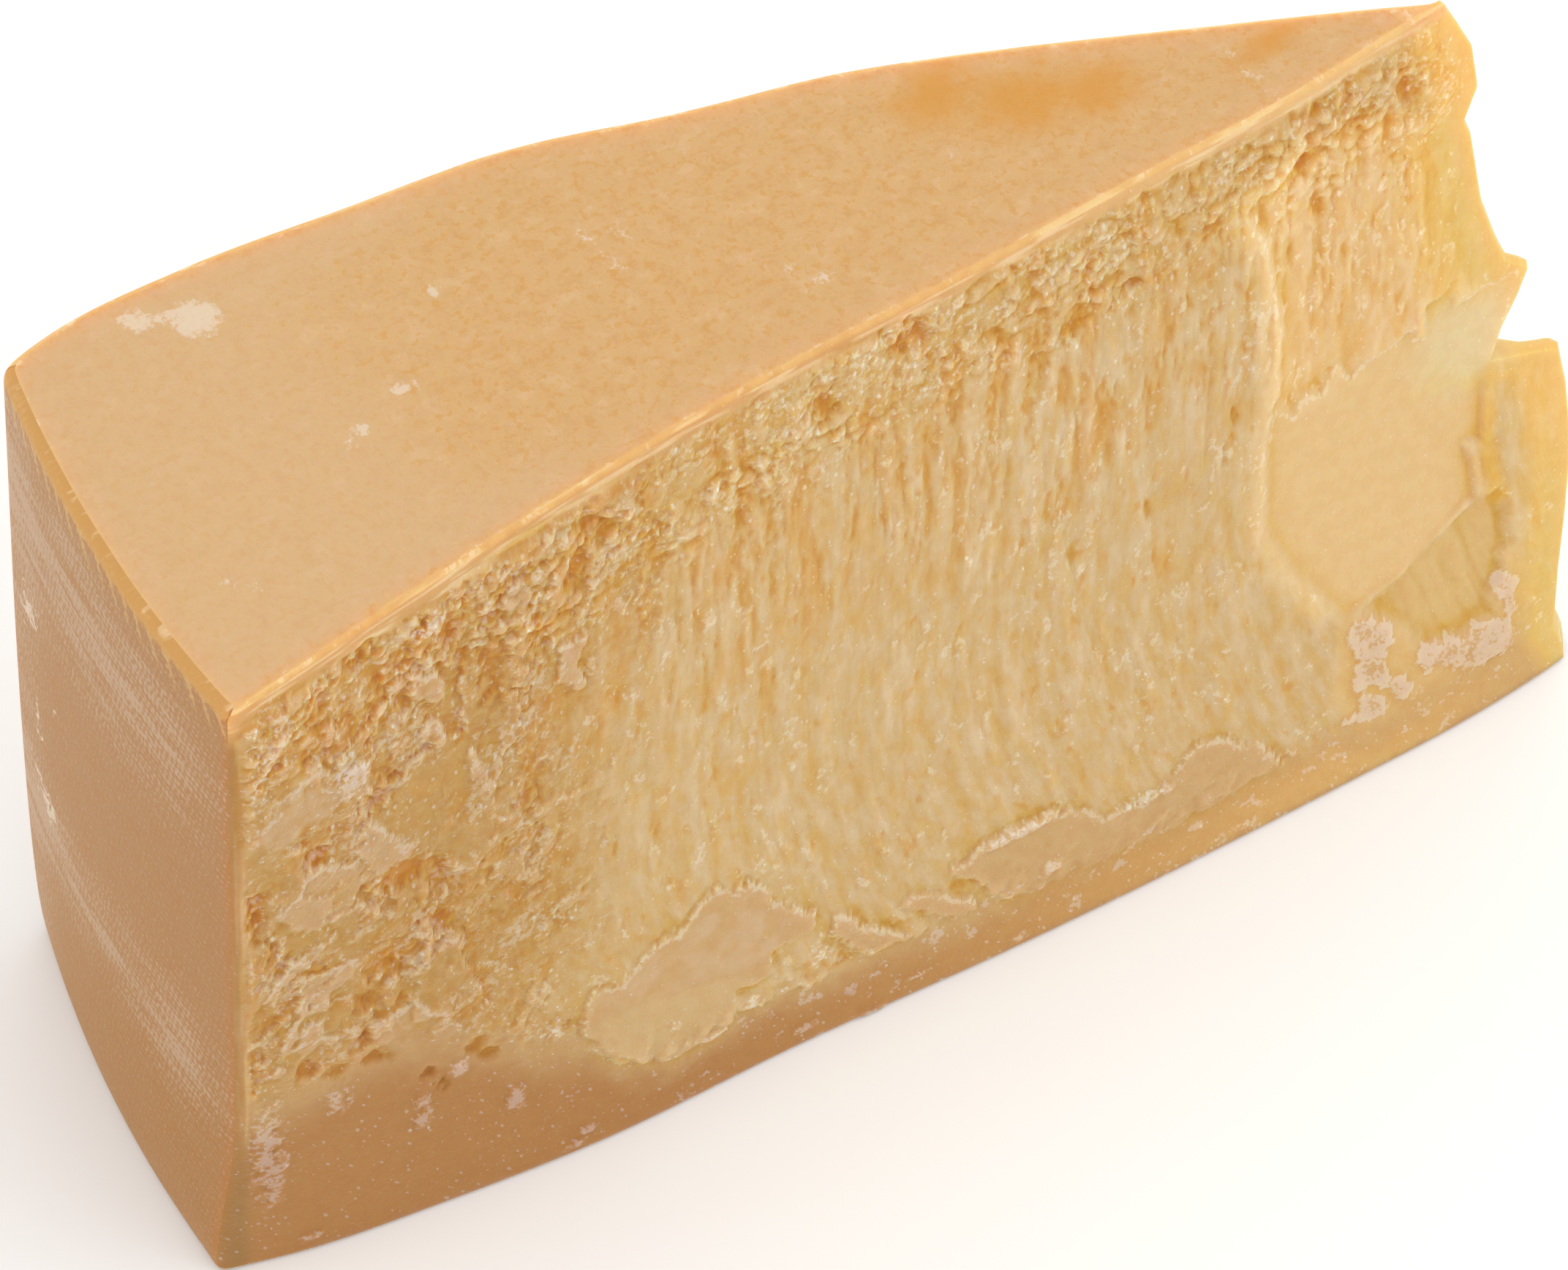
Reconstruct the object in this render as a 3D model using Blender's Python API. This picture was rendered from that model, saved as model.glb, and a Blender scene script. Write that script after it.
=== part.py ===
"""A chunk of Sbrinz: a wedge of extra-hard cheese split out of a tall wheel.

The chunk keeps the wheel's flat top and bottom rind and a stretch of its round rim.
The two long sides are where the wheel was broken: rough near the rim and under the
top rind, long shallow furrows in the middle, and a stepped, flaked area by the tip.

The shape is drawn on the wheel: x runs from the rim (negative) to the wheel's centre,
the broken face that shows most looks along -y, and z is the height. Each level of the
chunk is one closed outline of the same number of points, the levels are joined into a
skin, and the flat top and bottom are filled. The chunk is then moved so that its origin
is at the bottom, in the middle of its box.
"""

import bmesh
import bpy
import numpy as np
from mathutils import Vector
from mathutils.geometry import delaunay_2d_cdt

MM = 0.001

# The wheel
WHEEL_HEIGHT = 150 * MM
WHEEL_RADIUS = 247.6 * MM
TOP_RIM_ROUNDING = 2.0 * MM
# Towards the base the rim draws in, a little at its front corner and from high up at its back
DRAW_IN_HEIGHT = (3.0 * MM, 104.0 * MM)
DRAW_IN_DEPTH = (1.5 * MM, 4.0 * MM)
RIM_HALF_WIDTH = 39.0 * MM
RIM_FLARE = 3.6 * MM
RIM_FLARE_HEIGHT = 43.0 * MM

# The four long edges, as (x, y) in mm on the wheel
FRONT_TOP_EDGE = ((-250, -39.8), (-200.6, -28.8), (-160.8, -21.3), (-134.5, -17.6),
                  (-102.9, -14.4), (-65.1, -9.6), (-34.4, -6.2), (0, 0), (30, 4))
FRONT_BASE_EDGE = ((-250, -38.2), (-231.4, -41.9), (-207.6, -44.0), (-179, -45.3), (-139.8, -43.7),
                   (-96.2, -43.2), (-50.9, -41.3), (-22.8, -39.5), (-3.5, -38.0), (17, -35.0), (30, -32))
BACK_TOP_EDGE = ((-250, 38), (-234, 43.1), (-209, 45.5), (-178, 44.6), (-154, 43.8), (-125, 38.1),
                 (-95, 32.9), (-67, 24.5), (-39, 14.8), (-11, 5.0), (0, 0.8), (30, -10))
BACK_BASE_EDGE = ((-250, 38), (-225, 42), (-195, 42.5), (-160, 37), (-125, 29), (-90, 18),
                  (-50, 4), (-15, -12), (10, -22), (30, -28))

# How far the tip reaches, as (z, x) in mm: a torn edge with a flake above a notch
TIP_EDGE = ((0, 21.2), (4, 20.8), (9, 19.0), (21, 20.5), (33, 22.6), (45, 24.2), (58, 23.6), (67.5, 22.0),
            (70.5, 15), (73.5, 7), (79, 9.7), (84, 13.6), (88.1, 16.0), (92, 11.2), (97, 9.2),
            (106, 6.4), (115, 5.4), (121, 4.7), (124.6, 3.4), (130, 6.6), (138, 5.8), (144, 3.0), (150, 0))
# The tip without its flake and notch, and how much of a face takes up the difference
TIP_LINE = ((0, 21), (60, 20), (90, 12), (120, 6), (150, 0))
TORN_SHARE = 0.15
TIP_THICKNESS = ((0, 6.0), (60, 2.6), (75, 3.0), (150, 1.4))
NOSE_REACH = 0.3

# Levels of the outline, in mm: heights that have a level of their own, and the most between two
KEY_LEVELS = (0, 3, 9, 67.5, 70.5, 73.5, 79, 88, 92, 97, 121, 125, 130, 144, 148.5, 150)
LEVEL_STEP = 4.6
FRONT_POINTS = 60
BACK_POINTS = 36
RIM_POINTS = 11
FILL_SPACING = 13 * MM

# Smooth borders of the broken faces, where the relief dies away
RIND_STRIP = 4.0 * MM
TOP_STRIP = 5.0 * MM
BASE_BAND = 15.0 * MM
BORDER_FADE = 6.0 * MM

# Relief of the broken faces: crags near the rim and under the top, furrows elsewhere
CRAG_DEPTH = 4.2 * MM
CRAG_SIZE = 13 * MM
GRAIN_DEPTH = 1.4 * MM
GRAIN_SIZE = 7 * MM
FURROW_DEPTH = 1.2 * MM
FURROW_SIZE = 12 * MM
CRUMB_STRETCH = 0.75
FURROW_STRETCH = 0.15
FURROW_LEAN = 0.1
FACET_SHARPNESS = 9.0
CRAGS_FULL_TO = -205 * MM
CRAGS_GONE_FROM = -155 * MM
CRAGS_LEAN = 0.25
BELT_START = 105 * MM
BELT_FULL = 125 * MM
BELT_STRENGTH = 0.8
FRONT_SEED = 20
BACK_SEED = 60

# Steps of the front face by the tip and along its base
HOLLOW_DEPTH = 4.5 * MM
HOLLOW_FULL_TO = -35 * MM
HOLLOW_GONE_FROM = 5 * MM
SLAB_DEPTH = 1.2 * MM
UNDERCUT_DEPTH = 5.0 * MM
PLATE_RISE = 1.5 * MM
STEP_WIDTH = 3.5 * MM

# Areas of the front face, as (x, z) in mm
HOLLOW_AREA = ((-41, 131), (-39, 115), (-38, 104), (-39, 90), (-34, 87), (-15, 88), (-4, 86), (6, 92),
               (2, 110), (-2, 128), (-12, 136), (-30, 137))
SLAB_AREA = ((-39, 86), (-34, 87), (-15, 88), (-4, 86), (3, 90), (15, 89), (8, 76), (5, 63), (1, 58),
             (2, 46), (-9, 42), (-25, 36), (-32, 46), (-39, 59), (-41, 73))
UNDERCUT_AREA = ((-24, 36), (-9, 41), (3, 46), (6, 68), (9, 60), (9, 34), (7, 22), (-2, 20),
                 (-12, 23), (-17, 30))
LOWER_PLATES = (
    ((-182, 31), (-169, 39), (-160, 42), (-153, 48), (-144, 42), (-134, 31), (-131, 20),
     (-121, 15), (-166, 15), (-177, 26)),
    ((-109, 26), (-88, 29), (-79, 20), (-62, 24), (-46, 20), (-60, 14), (-104, 15)),
)

PASTE_COLOR = (0.68, 0.44, 0.19, 1.0)
PASTE_ROUGHNESS = 0.55

# Where the middle of the chunk's box lies on the wheel
BOX_MIDDLE = Vector((-111.76 * MM, 1.2 * MM, 0.0))


def smooth_step(low, high, value):
    """0 below low, 1 above high and a soft change between."""
    share = np.clip((value - low) / (high - low), 0.0, 1.0)
    return share * share * (3.0 - 2.0 * share)


def smooth_through(points_mm, where):
    """Read a smooth curve through a few (place, value) points in mm, at places in metres."""
    place, value = np.array(points_mm, dtype=float).T * MM
    slope = np.gradient(value, place)
    where = np.clip(where, place[0], place[-1])
    low = np.clip(np.searchsorted(place, where) - 1, 0, len(place) - 2)
    width = place[low + 1] - place[low]
    t = (where - place[low]) / width
    start = (1 + 2 * t) * (1 - t) ** 2 * value[low] + t * (1 - t) ** 2 * width * slope[low]
    end = t * t * (3 - 2 * t) * value[low + 1] + t * t * (t - 1) * width * slope[low + 1]
    return start + end


def straight_through(points_mm, where):
    """Read straight runs between (place, value) points in mm, at places in metres."""
    place, value = np.array(points_mm, dtype=float).T * MM
    return np.interp(where, place, value)


def cell_value(column, row, salt):
    """A repeatable value from 0 to 1 for each cell of a grid."""
    mixed = (column * 374761393 + row * 668265263 + salt * 974634777) & 0xFFFFFFFF
    mixed = ((mixed ^ (mixed >> 13)) * 1274126177) & 0xFFFFFFFF
    return ((mixed ^ (mixed >> 16)) & 0xFFFF) / 65535.0


def facets(across, up, size, salt):
    """Broken facets from -1 to 1: tilted planes of scattered crumbs, blended where they meet."""
    u, v = across / size, up / size
    column, row = np.floor(u).astype(np.int64), np.floor(v).astype(np.int64)
    relief = np.zeros(u.shape)
    weights = np.zeros(u.shape)
    for step_u in (-1, 0, 1):
        for step_v in (-1, 0, 1):
            c, r = column + step_u, row + step_v
            du = u - c - cell_value(c, r, salt)
            dv = v - r - cell_value(c, r, salt + 1)
            lift = 2 * cell_value(c, r, salt + 2) - 1
            tilt_u = 2 * cell_value(c, r, salt + 3) - 1
            tilt_v = 2 * cell_value(c, r, salt + 4) - 1
            weight = np.exp(-FACET_SHARPNESS * (du * du + dv * dv))
            relief += weight * (0.6 * lift + 0.7 * (tilt_u * du + tilt_v * dv))
            weights += weight
    return np.clip(relief / weights, -1.0, 1.0)


def depth_inside(area_mm, x, z):
    """Distance to an area's border in metres, positive inside the area."""
    corner = np.array(area_mm, dtype=float) * MM
    closest = np.full(x.shape, np.inf)
    inside = np.zeros(x.shape, dtype=bool)
    for (ax, az), (bx, bz) in zip(corner, np.roll(corner, -1, axis=0)):
        along = ((x - ax) * (bx - ax) + (z - az) * (bz - az)) / ((bx - ax) ** 2 + (bz - az) ** 2)
        along = np.clip(along, 0.0, 1.0)
        closest = np.minimum(closest, np.hypot(x - ax - along * (bx - ax), z - az - along * (bz - az)))
        crosses = (az > z) != (bz > z)
        rise = np.where(crosses, bz - az, 1.0)
        inside ^= crosses & (x < ax + (z - az) * (bx - ax) / rise)
    return np.where(inside, closest, -closest)


def within(area_mm, x, z):
    """1 inside an area, 0 outside it, with a short slope at its border."""
    return smooth_step(-STEP_WIDTH / 2, STEP_WIDTH / 2, depth_inside(area_mm, x, z))


def front_y(x, z):
    """Where the front face runs before its relief: straight up at the rim, leaning at the tip."""
    base = smooth_through(FRONT_BASE_EDGE, x)
    return base + (smooth_through(FRONT_TOP_EDGE, x) - base) * z / WHEEL_HEIGHT


def back_y(x, z):
    """Where the back face runs before its relief, never closer to the front than the tip is thick."""
    base = smooth_through(BACK_BASE_EDGE, x)
    y = base + (smooth_through(BACK_TOP_EDGE, x) - base) * z / WHEEL_HEIGHT
    return np.maximum(y, front_y(x, z) + straight_through(TIP_THICKNESS, z))


def rounding(distance, length, depth):
    """How far an elliptic rounding of this length and depth draws in, this far from its start."""
    share = np.clip(1 - distance / length, 0.0, 1.0)
    return depth * (1 - np.sqrt(1 - share * share))


def rim_x(y, z):
    """The rim's surface: the wheel's edge, drawn in at the base's back and flared at its front."""
    to_back = np.clip((y + RIM_HALF_WIDTH) / (2 * RIM_HALF_WIDTH), 0.0, 1.0)
    height = DRAW_IN_HEIGHT[0] + (DRAW_IN_HEIGHT[1] - DRAW_IN_HEIGHT[0]) * to_back
    depth = DRAW_IN_DEPTH[0] + (DRAW_IN_DEPTH[1] - DRAW_IN_DEPTH[0]) * to_back ** 1.5
    drawn_in = rounding(z, height, depth)
    drawn_in += rounding(WHEEL_HEIGHT - z, TOP_RIM_ROUNDING, TOP_RIM_ROUNDING)
    flare = RIM_FLARE * (1 - to_back) * (1 - smooth_step(0.0, RIM_FLARE_HEIGHT, z))
    radius = WHEEL_RADIUS + flare - drawn_in
    return -np.sqrt(radius * radius - y * y)


def rim_corner(face_y, z):
    """The corner where a broken face meets the rim, at one height."""
    x = -WHEEL_RADIUS
    for _ in range(6):
        x = rim_x(face_y(x, z), z)
    return x


def border_fade(x, z, rim_end, tip_end):
    """0 on a broken face's smooth borders and 1 inside them."""
    from_rim = smooth_step(RIND_STRIP, RIND_STRIP + BORDER_FADE, x - rim_end)
    from_tip = smooth_step(0.0, BORDER_FADE, tip_end - x)
    from_top = smooth_step(TOP_STRIP, TOP_STRIP + BORDER_FADE, WHEEL_HEIGHT - z)
    from_base = smooth_step(BASE_BAND, BASE_BAND + BORDER_FADE, z)
    return from_rim * from_tip * from_top * from_base


def rough_relief(x, z, salt):
    """Coarse crags towards the rim, smaller grains under the top, furrows elsewhere."""
    leaning_x = x - CRAGS_LEAN * (z - WHEEL_HEIGHT / 2)
    near_rim = 1 - smooth_step(CRAGS_FULL_TO, CRAGS_GONE_FROM, leaning_x)
    near_top = smooth_step(BELT_START, BELT_FULL, z)
    crags = facets(x, CRUMB_STRETCH * z, CRAG_SIZE, salt) * CRAG_DEPTH
    grains = facets(x, CRUMB_STRETCH * z, GRAIN_SIZE, salt + 5) * GRAIN_DEPTH
    furrows = facets(x + FURROW_LEAN * z, FURROW_STRETCH * z, FURROW_SIZE, salt + 10) * FURROW_DEPTH
    rough = np.clip(near_rim + BELT_STRENGTH * near_top, 0.0, 1.0)
    return rough * (crags + grains) + (1 - rough) * (furrows + 0.4 * grains)


def front_relief(x, z, rim_end, tip_end):
    """How far the front face stands proud (+) or is broken away (-)."""
    slab = within(SLAB_AREA, x, z)
    undercut = within(UNDERCUT_AREA, x, z) * (1 - slab)
    hollow = within(HOLLOW_AREA, x, z) * (1 - slab) * (1 - smooth_step(HOLLOW_FULL_TO, HOLLOW_GONE_FROM, x))
    plates = sum(within(area, x, z) for area in LOWER_PLATES)
    broken = rough_relief(x, z, FRONT_SEED) * (1 - slab) * (1 - 0.7 * plates)
    steps = PLATE_RISE * plates - HOLLOW_DEPTH * hollow - SLAB_DEPTH * slab - UNDERCUT_DEPTH * undercut
    from_tip = smooth_step(0.0, BORDER_FADE, tip_end - x)
    return broken * border_fade(x, z, rim_end, tip_end) + steps * from_tip


def levels():
    """Heights of the outlines, from the base to the top."""
    heights = [0.0]
    for low, high in zip(KEY_LEVELS, KEY_LEVELS[1:]):
        count = int(np.ceil((high - low) / LEVEL_STEP))
        heights += [low + (high - low) * k / count for k in range(1, count + 1)]
    return np.array(heights) * MM


def stations(corner, tip_line, tip, count):
    """Places along a face, rim to tip: even ones, with the torn tip taken up near its end."""
    share = np.linspace(0.0, 1.0, count)
    return corner + (tip_line - corner) * share + (tip - tip_line) * smooth_step(1.0 - TORN_SHARE, 1.0, share)


def outline(z):
    """The chunk's closed outline at one height: front, tip, back, then the rim."""
    tip = straight_through(TIP_EDGE, z)
    tip_line = straight_through(TIP_LINE, z)
    front_corner = rim_corner(front_y, z)
    back_corner = rim_corner(back_y, z)

    front_x = stations(front_corner, tip_line, tip, FRONT_POINTS)
    fixed_z = np.full(FRONT_POINTS, z)
    proud = front_relief(front_x, fixed_z, front_corner, tip)
    front = np.column_stack([front_x, front_y(front_x, z) - proud, fixed_z])

    back_x = stations(back_corner, tip_line, tip, BACK_POINTS)[::-1]
    fixed_z = np.full(BACK_POINTS, z)
    proud = rough_relief(back_x, fixed_z, BACK_SEED) * border_fade(back_x, fixed_z, back_corner, tip)
    back = np.column_stack([back_x, back_y(back_x, z) + proud, fixed_z])

    thickness = back[0, 1] - front[-1, 1]
    nose = (front[-1] + back[0]) / 2 + np.array([NOSE_REACH * thickness, 0.0, 0.0])

    rim_y = np.linspace(back[-1, 1], front[0, 1], RIM_POINTS + 2)[1:-1]
    rim = np.column_stack([rim_x(rim_y, z), rim_y, np.full(RIM_POINTS, z)])
    return np.vstack([front, nose, back, rim])


def fill(ring):
    """Triangles over a flat outline: its points, some points inside, and the triangles."""
    low, high = ring[:, :2].min(axis=0), ring[:, :2].max(axis=0)
    x, y = np.meshgrid(*(np.arange(a, b, FILL_SPACING) for a, b in zip(low, high)))
    x[1::2] += FILL_SPACING / 2
    inside = depth_inside(ring[:, :2] / MM, x, y) > FILL_SPACING / 2
    inner = list(zip(x[inside], y[inside]))
    points = [Vector(point) for point in ring[:, :2]] + [Vector(point) for point in inner]
    border = [(k, (k + 1) % len(ring)) for k in range(len(ring))]
    _, _, triangles, source, _, _ = delaunay_2d_cdt(points, border, [], 1, 1e-7)
    return inner, [[source[corner][0] for corner in triangle] for triangle in triangles]


def add_flat_side(mesh, ring_verts, ring, height, upward):
    """Fill the flat top or base of the chunk."""
    inner, triangles = fill(ring)
    verts = ring_verts + [mesh.verts.new((x, y, height)) for x, y in inner]
    for a, b, c in triangles:
        mesh.faces.new([verts[a], verts[b], verts[c]] if upward else [verts[c], verts[b], verts[a]])


def chunk_mesh():
    """The whole chunk as one closed skin."""
    heights = levels()
    rings = [outline(z) for z in heights]
    mesh = bmesh.new()
    grid = [[mesh.verts.new(point) for point in ring] for ring in rings]
    for low, high in zip(grid, grid[1:]):
        for k in range(len(low)):
            n = (k + 1) % len(low)
            mesh.faces.new([low[k], low[n], high[n]])
            mesh.faces.new([low[k], high[n], high[k]])
    add_flat_side(mesh, grid[0], rings[0], heights[0], upward=False)
    add_flat_side(mesh, grid[-1], rings[-1], heights[-1], upward=True)
    bmesh.ops.translate(mesh, vec=-BOX_MIDDLE, verts=mesh.verts)
    return mesh


def cheese_material():
    """Pale yellow hard paste: matt with a faint waxy sheen."""
    material = bpy.data.materials.new("cheese")
    material.use_nodes = True
    shader = material.node_tree.nodes["Principled BSDF"]
    shader.inputs["Base Color"].default_value = PASTE_COLOR
    shader.inputs["Roughness"].default_value = PASTE_ROUGHNESS
    shader.inputs["Metallic"].default_value = 0.0
    return material


def clear_scene():
    """Start from an empty scene."""
    for thing in list(bpy.data.objects):
        bpy.data.objects.remove(thing, do_unlink=True)


def build():
    """Make the chunk as one object."""
    clear_scene()
    data = bpy.data.meshes.new("cheese_chunk")
    mesh = chunk_mesh()
    mesh.to_mesh(data)
    mesh.free()
    data.shade_smooth()
    data.set_sharp_from_angle(angle=np.radians(35))
    data.materials.append(cheese_material())
    chunk = bpy.data.objects.new("cheese_chunk", data)
    bpy.context.scene.collection.objects.link(chunk)


build()
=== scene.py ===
"""Looks of the hard cheese wedge: its broken paste, its rind and a plain studio around it.

The cheese is one skin. Its base form is worked out as the solid's is, on the wheel: x runs
from the rim (negative) to the wheel's centre, the broken face that shows most looks along
-y, and z is the height. Relief finer than the solid's is added on the same surfaces, and
what each place is (a flake's torn edge, pits, rind, thin paste) is kept on the skin's
points for the material to read. The material paints shade into hollows, pits and gaps, highlights
on crests, raised places, upward torn lips and the top edges, and a glow into the thin paste by the
tip. Values whose names end in _MM and points written as pairs are in millimetres; the studio's
other lengths are in metres.
"""

import math
from functools import reduce
from types import SimpleNamespace

import bpy
import numpy as np
from mathutils import Matrix, Vector
from mathutils.geometry import delaunay_2d_cdt


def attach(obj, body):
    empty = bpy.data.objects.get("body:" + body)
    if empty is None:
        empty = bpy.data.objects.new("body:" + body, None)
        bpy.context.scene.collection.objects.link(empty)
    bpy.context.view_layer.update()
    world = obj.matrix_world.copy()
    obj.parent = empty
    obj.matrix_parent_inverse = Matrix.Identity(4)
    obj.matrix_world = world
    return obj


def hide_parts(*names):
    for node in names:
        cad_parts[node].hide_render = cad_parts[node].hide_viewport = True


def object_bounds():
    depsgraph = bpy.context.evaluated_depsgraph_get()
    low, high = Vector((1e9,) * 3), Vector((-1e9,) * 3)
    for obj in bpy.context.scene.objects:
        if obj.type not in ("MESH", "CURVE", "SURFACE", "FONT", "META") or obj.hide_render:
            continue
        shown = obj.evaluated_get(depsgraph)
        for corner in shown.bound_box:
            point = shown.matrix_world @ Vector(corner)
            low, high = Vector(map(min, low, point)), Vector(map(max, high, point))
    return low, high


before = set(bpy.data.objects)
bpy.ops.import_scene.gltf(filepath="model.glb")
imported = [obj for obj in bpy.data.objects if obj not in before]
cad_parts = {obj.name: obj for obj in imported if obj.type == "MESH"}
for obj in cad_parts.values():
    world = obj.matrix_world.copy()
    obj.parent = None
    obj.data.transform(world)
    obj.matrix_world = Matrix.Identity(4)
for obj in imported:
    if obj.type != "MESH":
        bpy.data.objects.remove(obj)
CAD_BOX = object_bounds()

MM = 0.001
PIECE = "hard_cheese_wedge"
NODE = "cheese_chunk"

# ---------------------------------------------------------------- the wheel, as the solid has it
WHEEL_HEIGHT_MM = 150.0
WHEEL_RADIUS_MM = 247.6
TOP_RIM_ROUNDING_MM = 2.0
DRAW_IN_HEIGHT_MM = (3.0, 104.0)
DRAW_IN_DEPTH_MM = (1.5, 4.0)
RIM_HALF_WIDTH_MM = 39.0
RIM_FLARE_MM = 3.6
RIM_FLARE_HEIGHT_MM = 43.0
FRONT_TOP_EDGE = (
    (-250, -39.8), (-200.6, -28.8), (-160.8, -21.3), (-134.5, -17.6), (-102.9, -14.4), (-65.1, -9.6),
    (-34.4, -6.2), (0, 0), (30, 4),
)
FRONT_BASE_EDGE = (
    (-250, -38.2), (-231.4, -41.9), (-207.6, -44.0), (-179, -45.3), (-139.8, -43.7), (-96.2, -43.2),
    (-50.9, -41.3), (-22.8, -39.5), (-3.5, -38.0), (17, -35.0), (30, -32),
)
BACK_TOP_EDGE = (
    (-250, 38), (-234, 43.1), (-209, 45.5), (-178, 44.6), (-154, 43.8), (-125, 38.1), (-95, 32.9),
    (-67, 24.5), (-39, 14.8), (-11, 5.0), (0, 0.8), (30, -10),
)
BACK_BASE_EDGE = (
    (-250, 38), (-225, 42), (-195, 42.5), (-160, 37), (-125, 29), (-90, 18), (-50, 4), (-15, -12),
    (10, -22), (30, -28),
)
TIP_EDGE = (
    (0, 21.2), (4, 20.8), (9, 19.0), (21, 20.5), (33, 22.6), (45, 24.2), (58, 23.6), (67.5, 22.0),
    (70.5, 15), (73.5, 7), (79, 9.7), (84, 13.6), (88.1, 16.0), (92, 11.2), (97, 9.2), (106, 6.4),
    (115, 5.4), (121, 4.7), (124.6, 3.4), (130, 6.6), (138, 5.8), (144, 3.0), (150, 0),
)
TIP_LINE = ((0, 21), (60, 20), (90, 12), (120, 6), (150, 0))
TORN_SHARE = 0.15
TIP_THICKNESS = ((0, 6.0), (60, 2.6), (75, 3.0), (150, 1.4))
NOSE_REACH = 0.3
BOX_MIDDLE_MM = np.array((-111.76, 1.2, 0.0))

# ---------------------------------------------------------------- the skin's points
# Heights of the outlines: (up to this height, at most this far apart)
LEVEL_RUNS = ((1.2, 0.3), (13, 0.8), (50, 0.52), (112, 0.62), (147, 0.46), (149, 0.4), (150, 0.2))
FRONT_POINTS = 520
BACK_POINTS = 300
RIM_POINTS = 110
CORNER_REACH = 4
CORNER_PASSES = 6
FILL_SPACING_MM = 2.2
EDGE_ROUNDING_MM = 0.8
TOP_UNEVENNESS_MM = 0.35
MAP_NAME = "OFBake"
MAP_WIDTH_MM = 404.0
# The parts of the flat map: (part, the two axes with their directions, scale, lower left corner)
CHARTS = (
    ("front", ((0, 1), (2, 1)), 1.0, (2, 2)), ("back", ((0, 1), (2, 1)), 1.0, (2, 155)),
    ("rim", ((1, -1), (2, 1)), 1.0, (285, 2)), ("top", ((0, 1), (1, 1)), 1.0, (2, 308)),
    ("base", ((1, 1), (0, 1)), 0.9, (285, 155)),
)

# ---------------------------------------------------------------- relief of the broken faces
RIND_STRIP_MM = 2.4
TOP_STRIP_MM = ((-250, 3.6), (-205, 3.8), (-160, 2.4), (-120, 1.8), (-60, 2.6), (0, 1.5))
CRAG_DEPTH_MM = 4.2
CRAG_SIZE_MM = 13.0
GRAIN_DEPTH_MM = 1.4
GRAIN_SIZE_MM = 7.0
FURROW_DEPTH_MM = 1.2
FURROW_SIZE_MM = 12.0
CRUMB_STRETCH = 0.75
FURROW_STRETCH = 0.15
FURROW_LEAN = 0.1
FACET_SHARPNESS = 9.0
CRAGS_FULL_TO_MM = -205.0
CRAGS_GONE_FROM_MM = -155.0
CRAGS_LEAN = 0.25
BELT_START_MM = 116.0
BELT_FULL_MM = 134.0
BELT_STRENGTH = 0.8
FRONT_SEED = 20
BACK_SEED = 60
TIP_CALM_MM = 6.0
DRAWN_HOLES_FROM_MM = (78, 108)
BACK_BAND_MM = 15.5
# How often a face's relief is averaged to tell small hollows and wide ones, for the painted shade in them and
# the painted highlight on raised places
NEAR_PASSES = 20
WIDE_PASSES = 80

HOLLOW_DEPTH_MM = 2.2
HOLLOW_FULL_TO_MM = -35.0
HOLLOW_GONE_FROM_MM = 5.0
SLAB_DEPTH_MM = 1.0
UNDERCUT_DEPTH_MM = 1.3
GROOVE_DEPTH_MM = 0.4
PLATE_RISE_MM = 0.9
FLAKE_RISE_MM = 0.7
PIT_DEPTH_MM = 1.1
CRUMB_RISE_MM = 0.6
CRUMB_SIZE_MM = (3.0, 2.6)
CHALK_RISE_MM = 0.4
PATCH_RISE_MM = 0.45
BAND_STEP_MM = 0.5

# Layers of flakes: (size, rise, how much of the face they cover, width of the torn border)
TORN_LAYERS = ((8.0, 0.35, 0.0, 1.8), (4.0, 0.22, -0.05, 1.1), (2.3, 0.12, -0.05, 0.8))
PLATE_SIZE_MM = 15.0
PLATE_STEP_MM = 0.7
SCALE_SIZE_MM = 4.5
SCALE_RISE_MM = 0.22
FLECK_SPACING_MM = (3.2, 4.2)
FLECK_RISE_MM = 0.15
FLECKS_FROM = 0.86

# Where the smooth band along the base ends: (x, height)
BAND_TOP = (
    (-250, 43), (-240, 41), (-218, 46), (-204, 39), (-198, 35), (-190, 28), (-181, 25), (-174, 17),
    (-165, 15), (-120, 14), (-60, 13.5), (-20, 12), (0, 14), (24, 18),
)
# The fibres lie in bows: how far they stand off to the tip side at each height
FIBRE_BOW = (
    (0, 15), (15, 10), (25, 6), (35, 3), (50, -1), (65, -3), (80, -2.5), (100, -1), (125, 0), (150, 0),
)

# How far in from the tip's edge the paste counts as thin, for its calmer relief and its painted glow, at each
# height
GLOW_REACH_MM = ((0, 7), (25, 15), (60, 18), (72, 20), (90, 24), (125, 20), (150, 14))
# A painted glow round the notch, where light shines through the paste: (x, height, half width, half height)
NOTCH_GLOW = (3, 80, 15, 14)

# What only broken paste shows, and so is missing from the front's smooth places
BROKEN_ONLY = ("pit", "crumbly", "lip", "crest", "trough", "drawn_hole", "brow", "chips",
               "rough", "waxy", "belt")
# What the back face doesn't have
FRONT_ONLY = ("slab", "ridge", "recess", "bay", "plate", "groove", "ledge", "patch", "flake", "haze")

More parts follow.
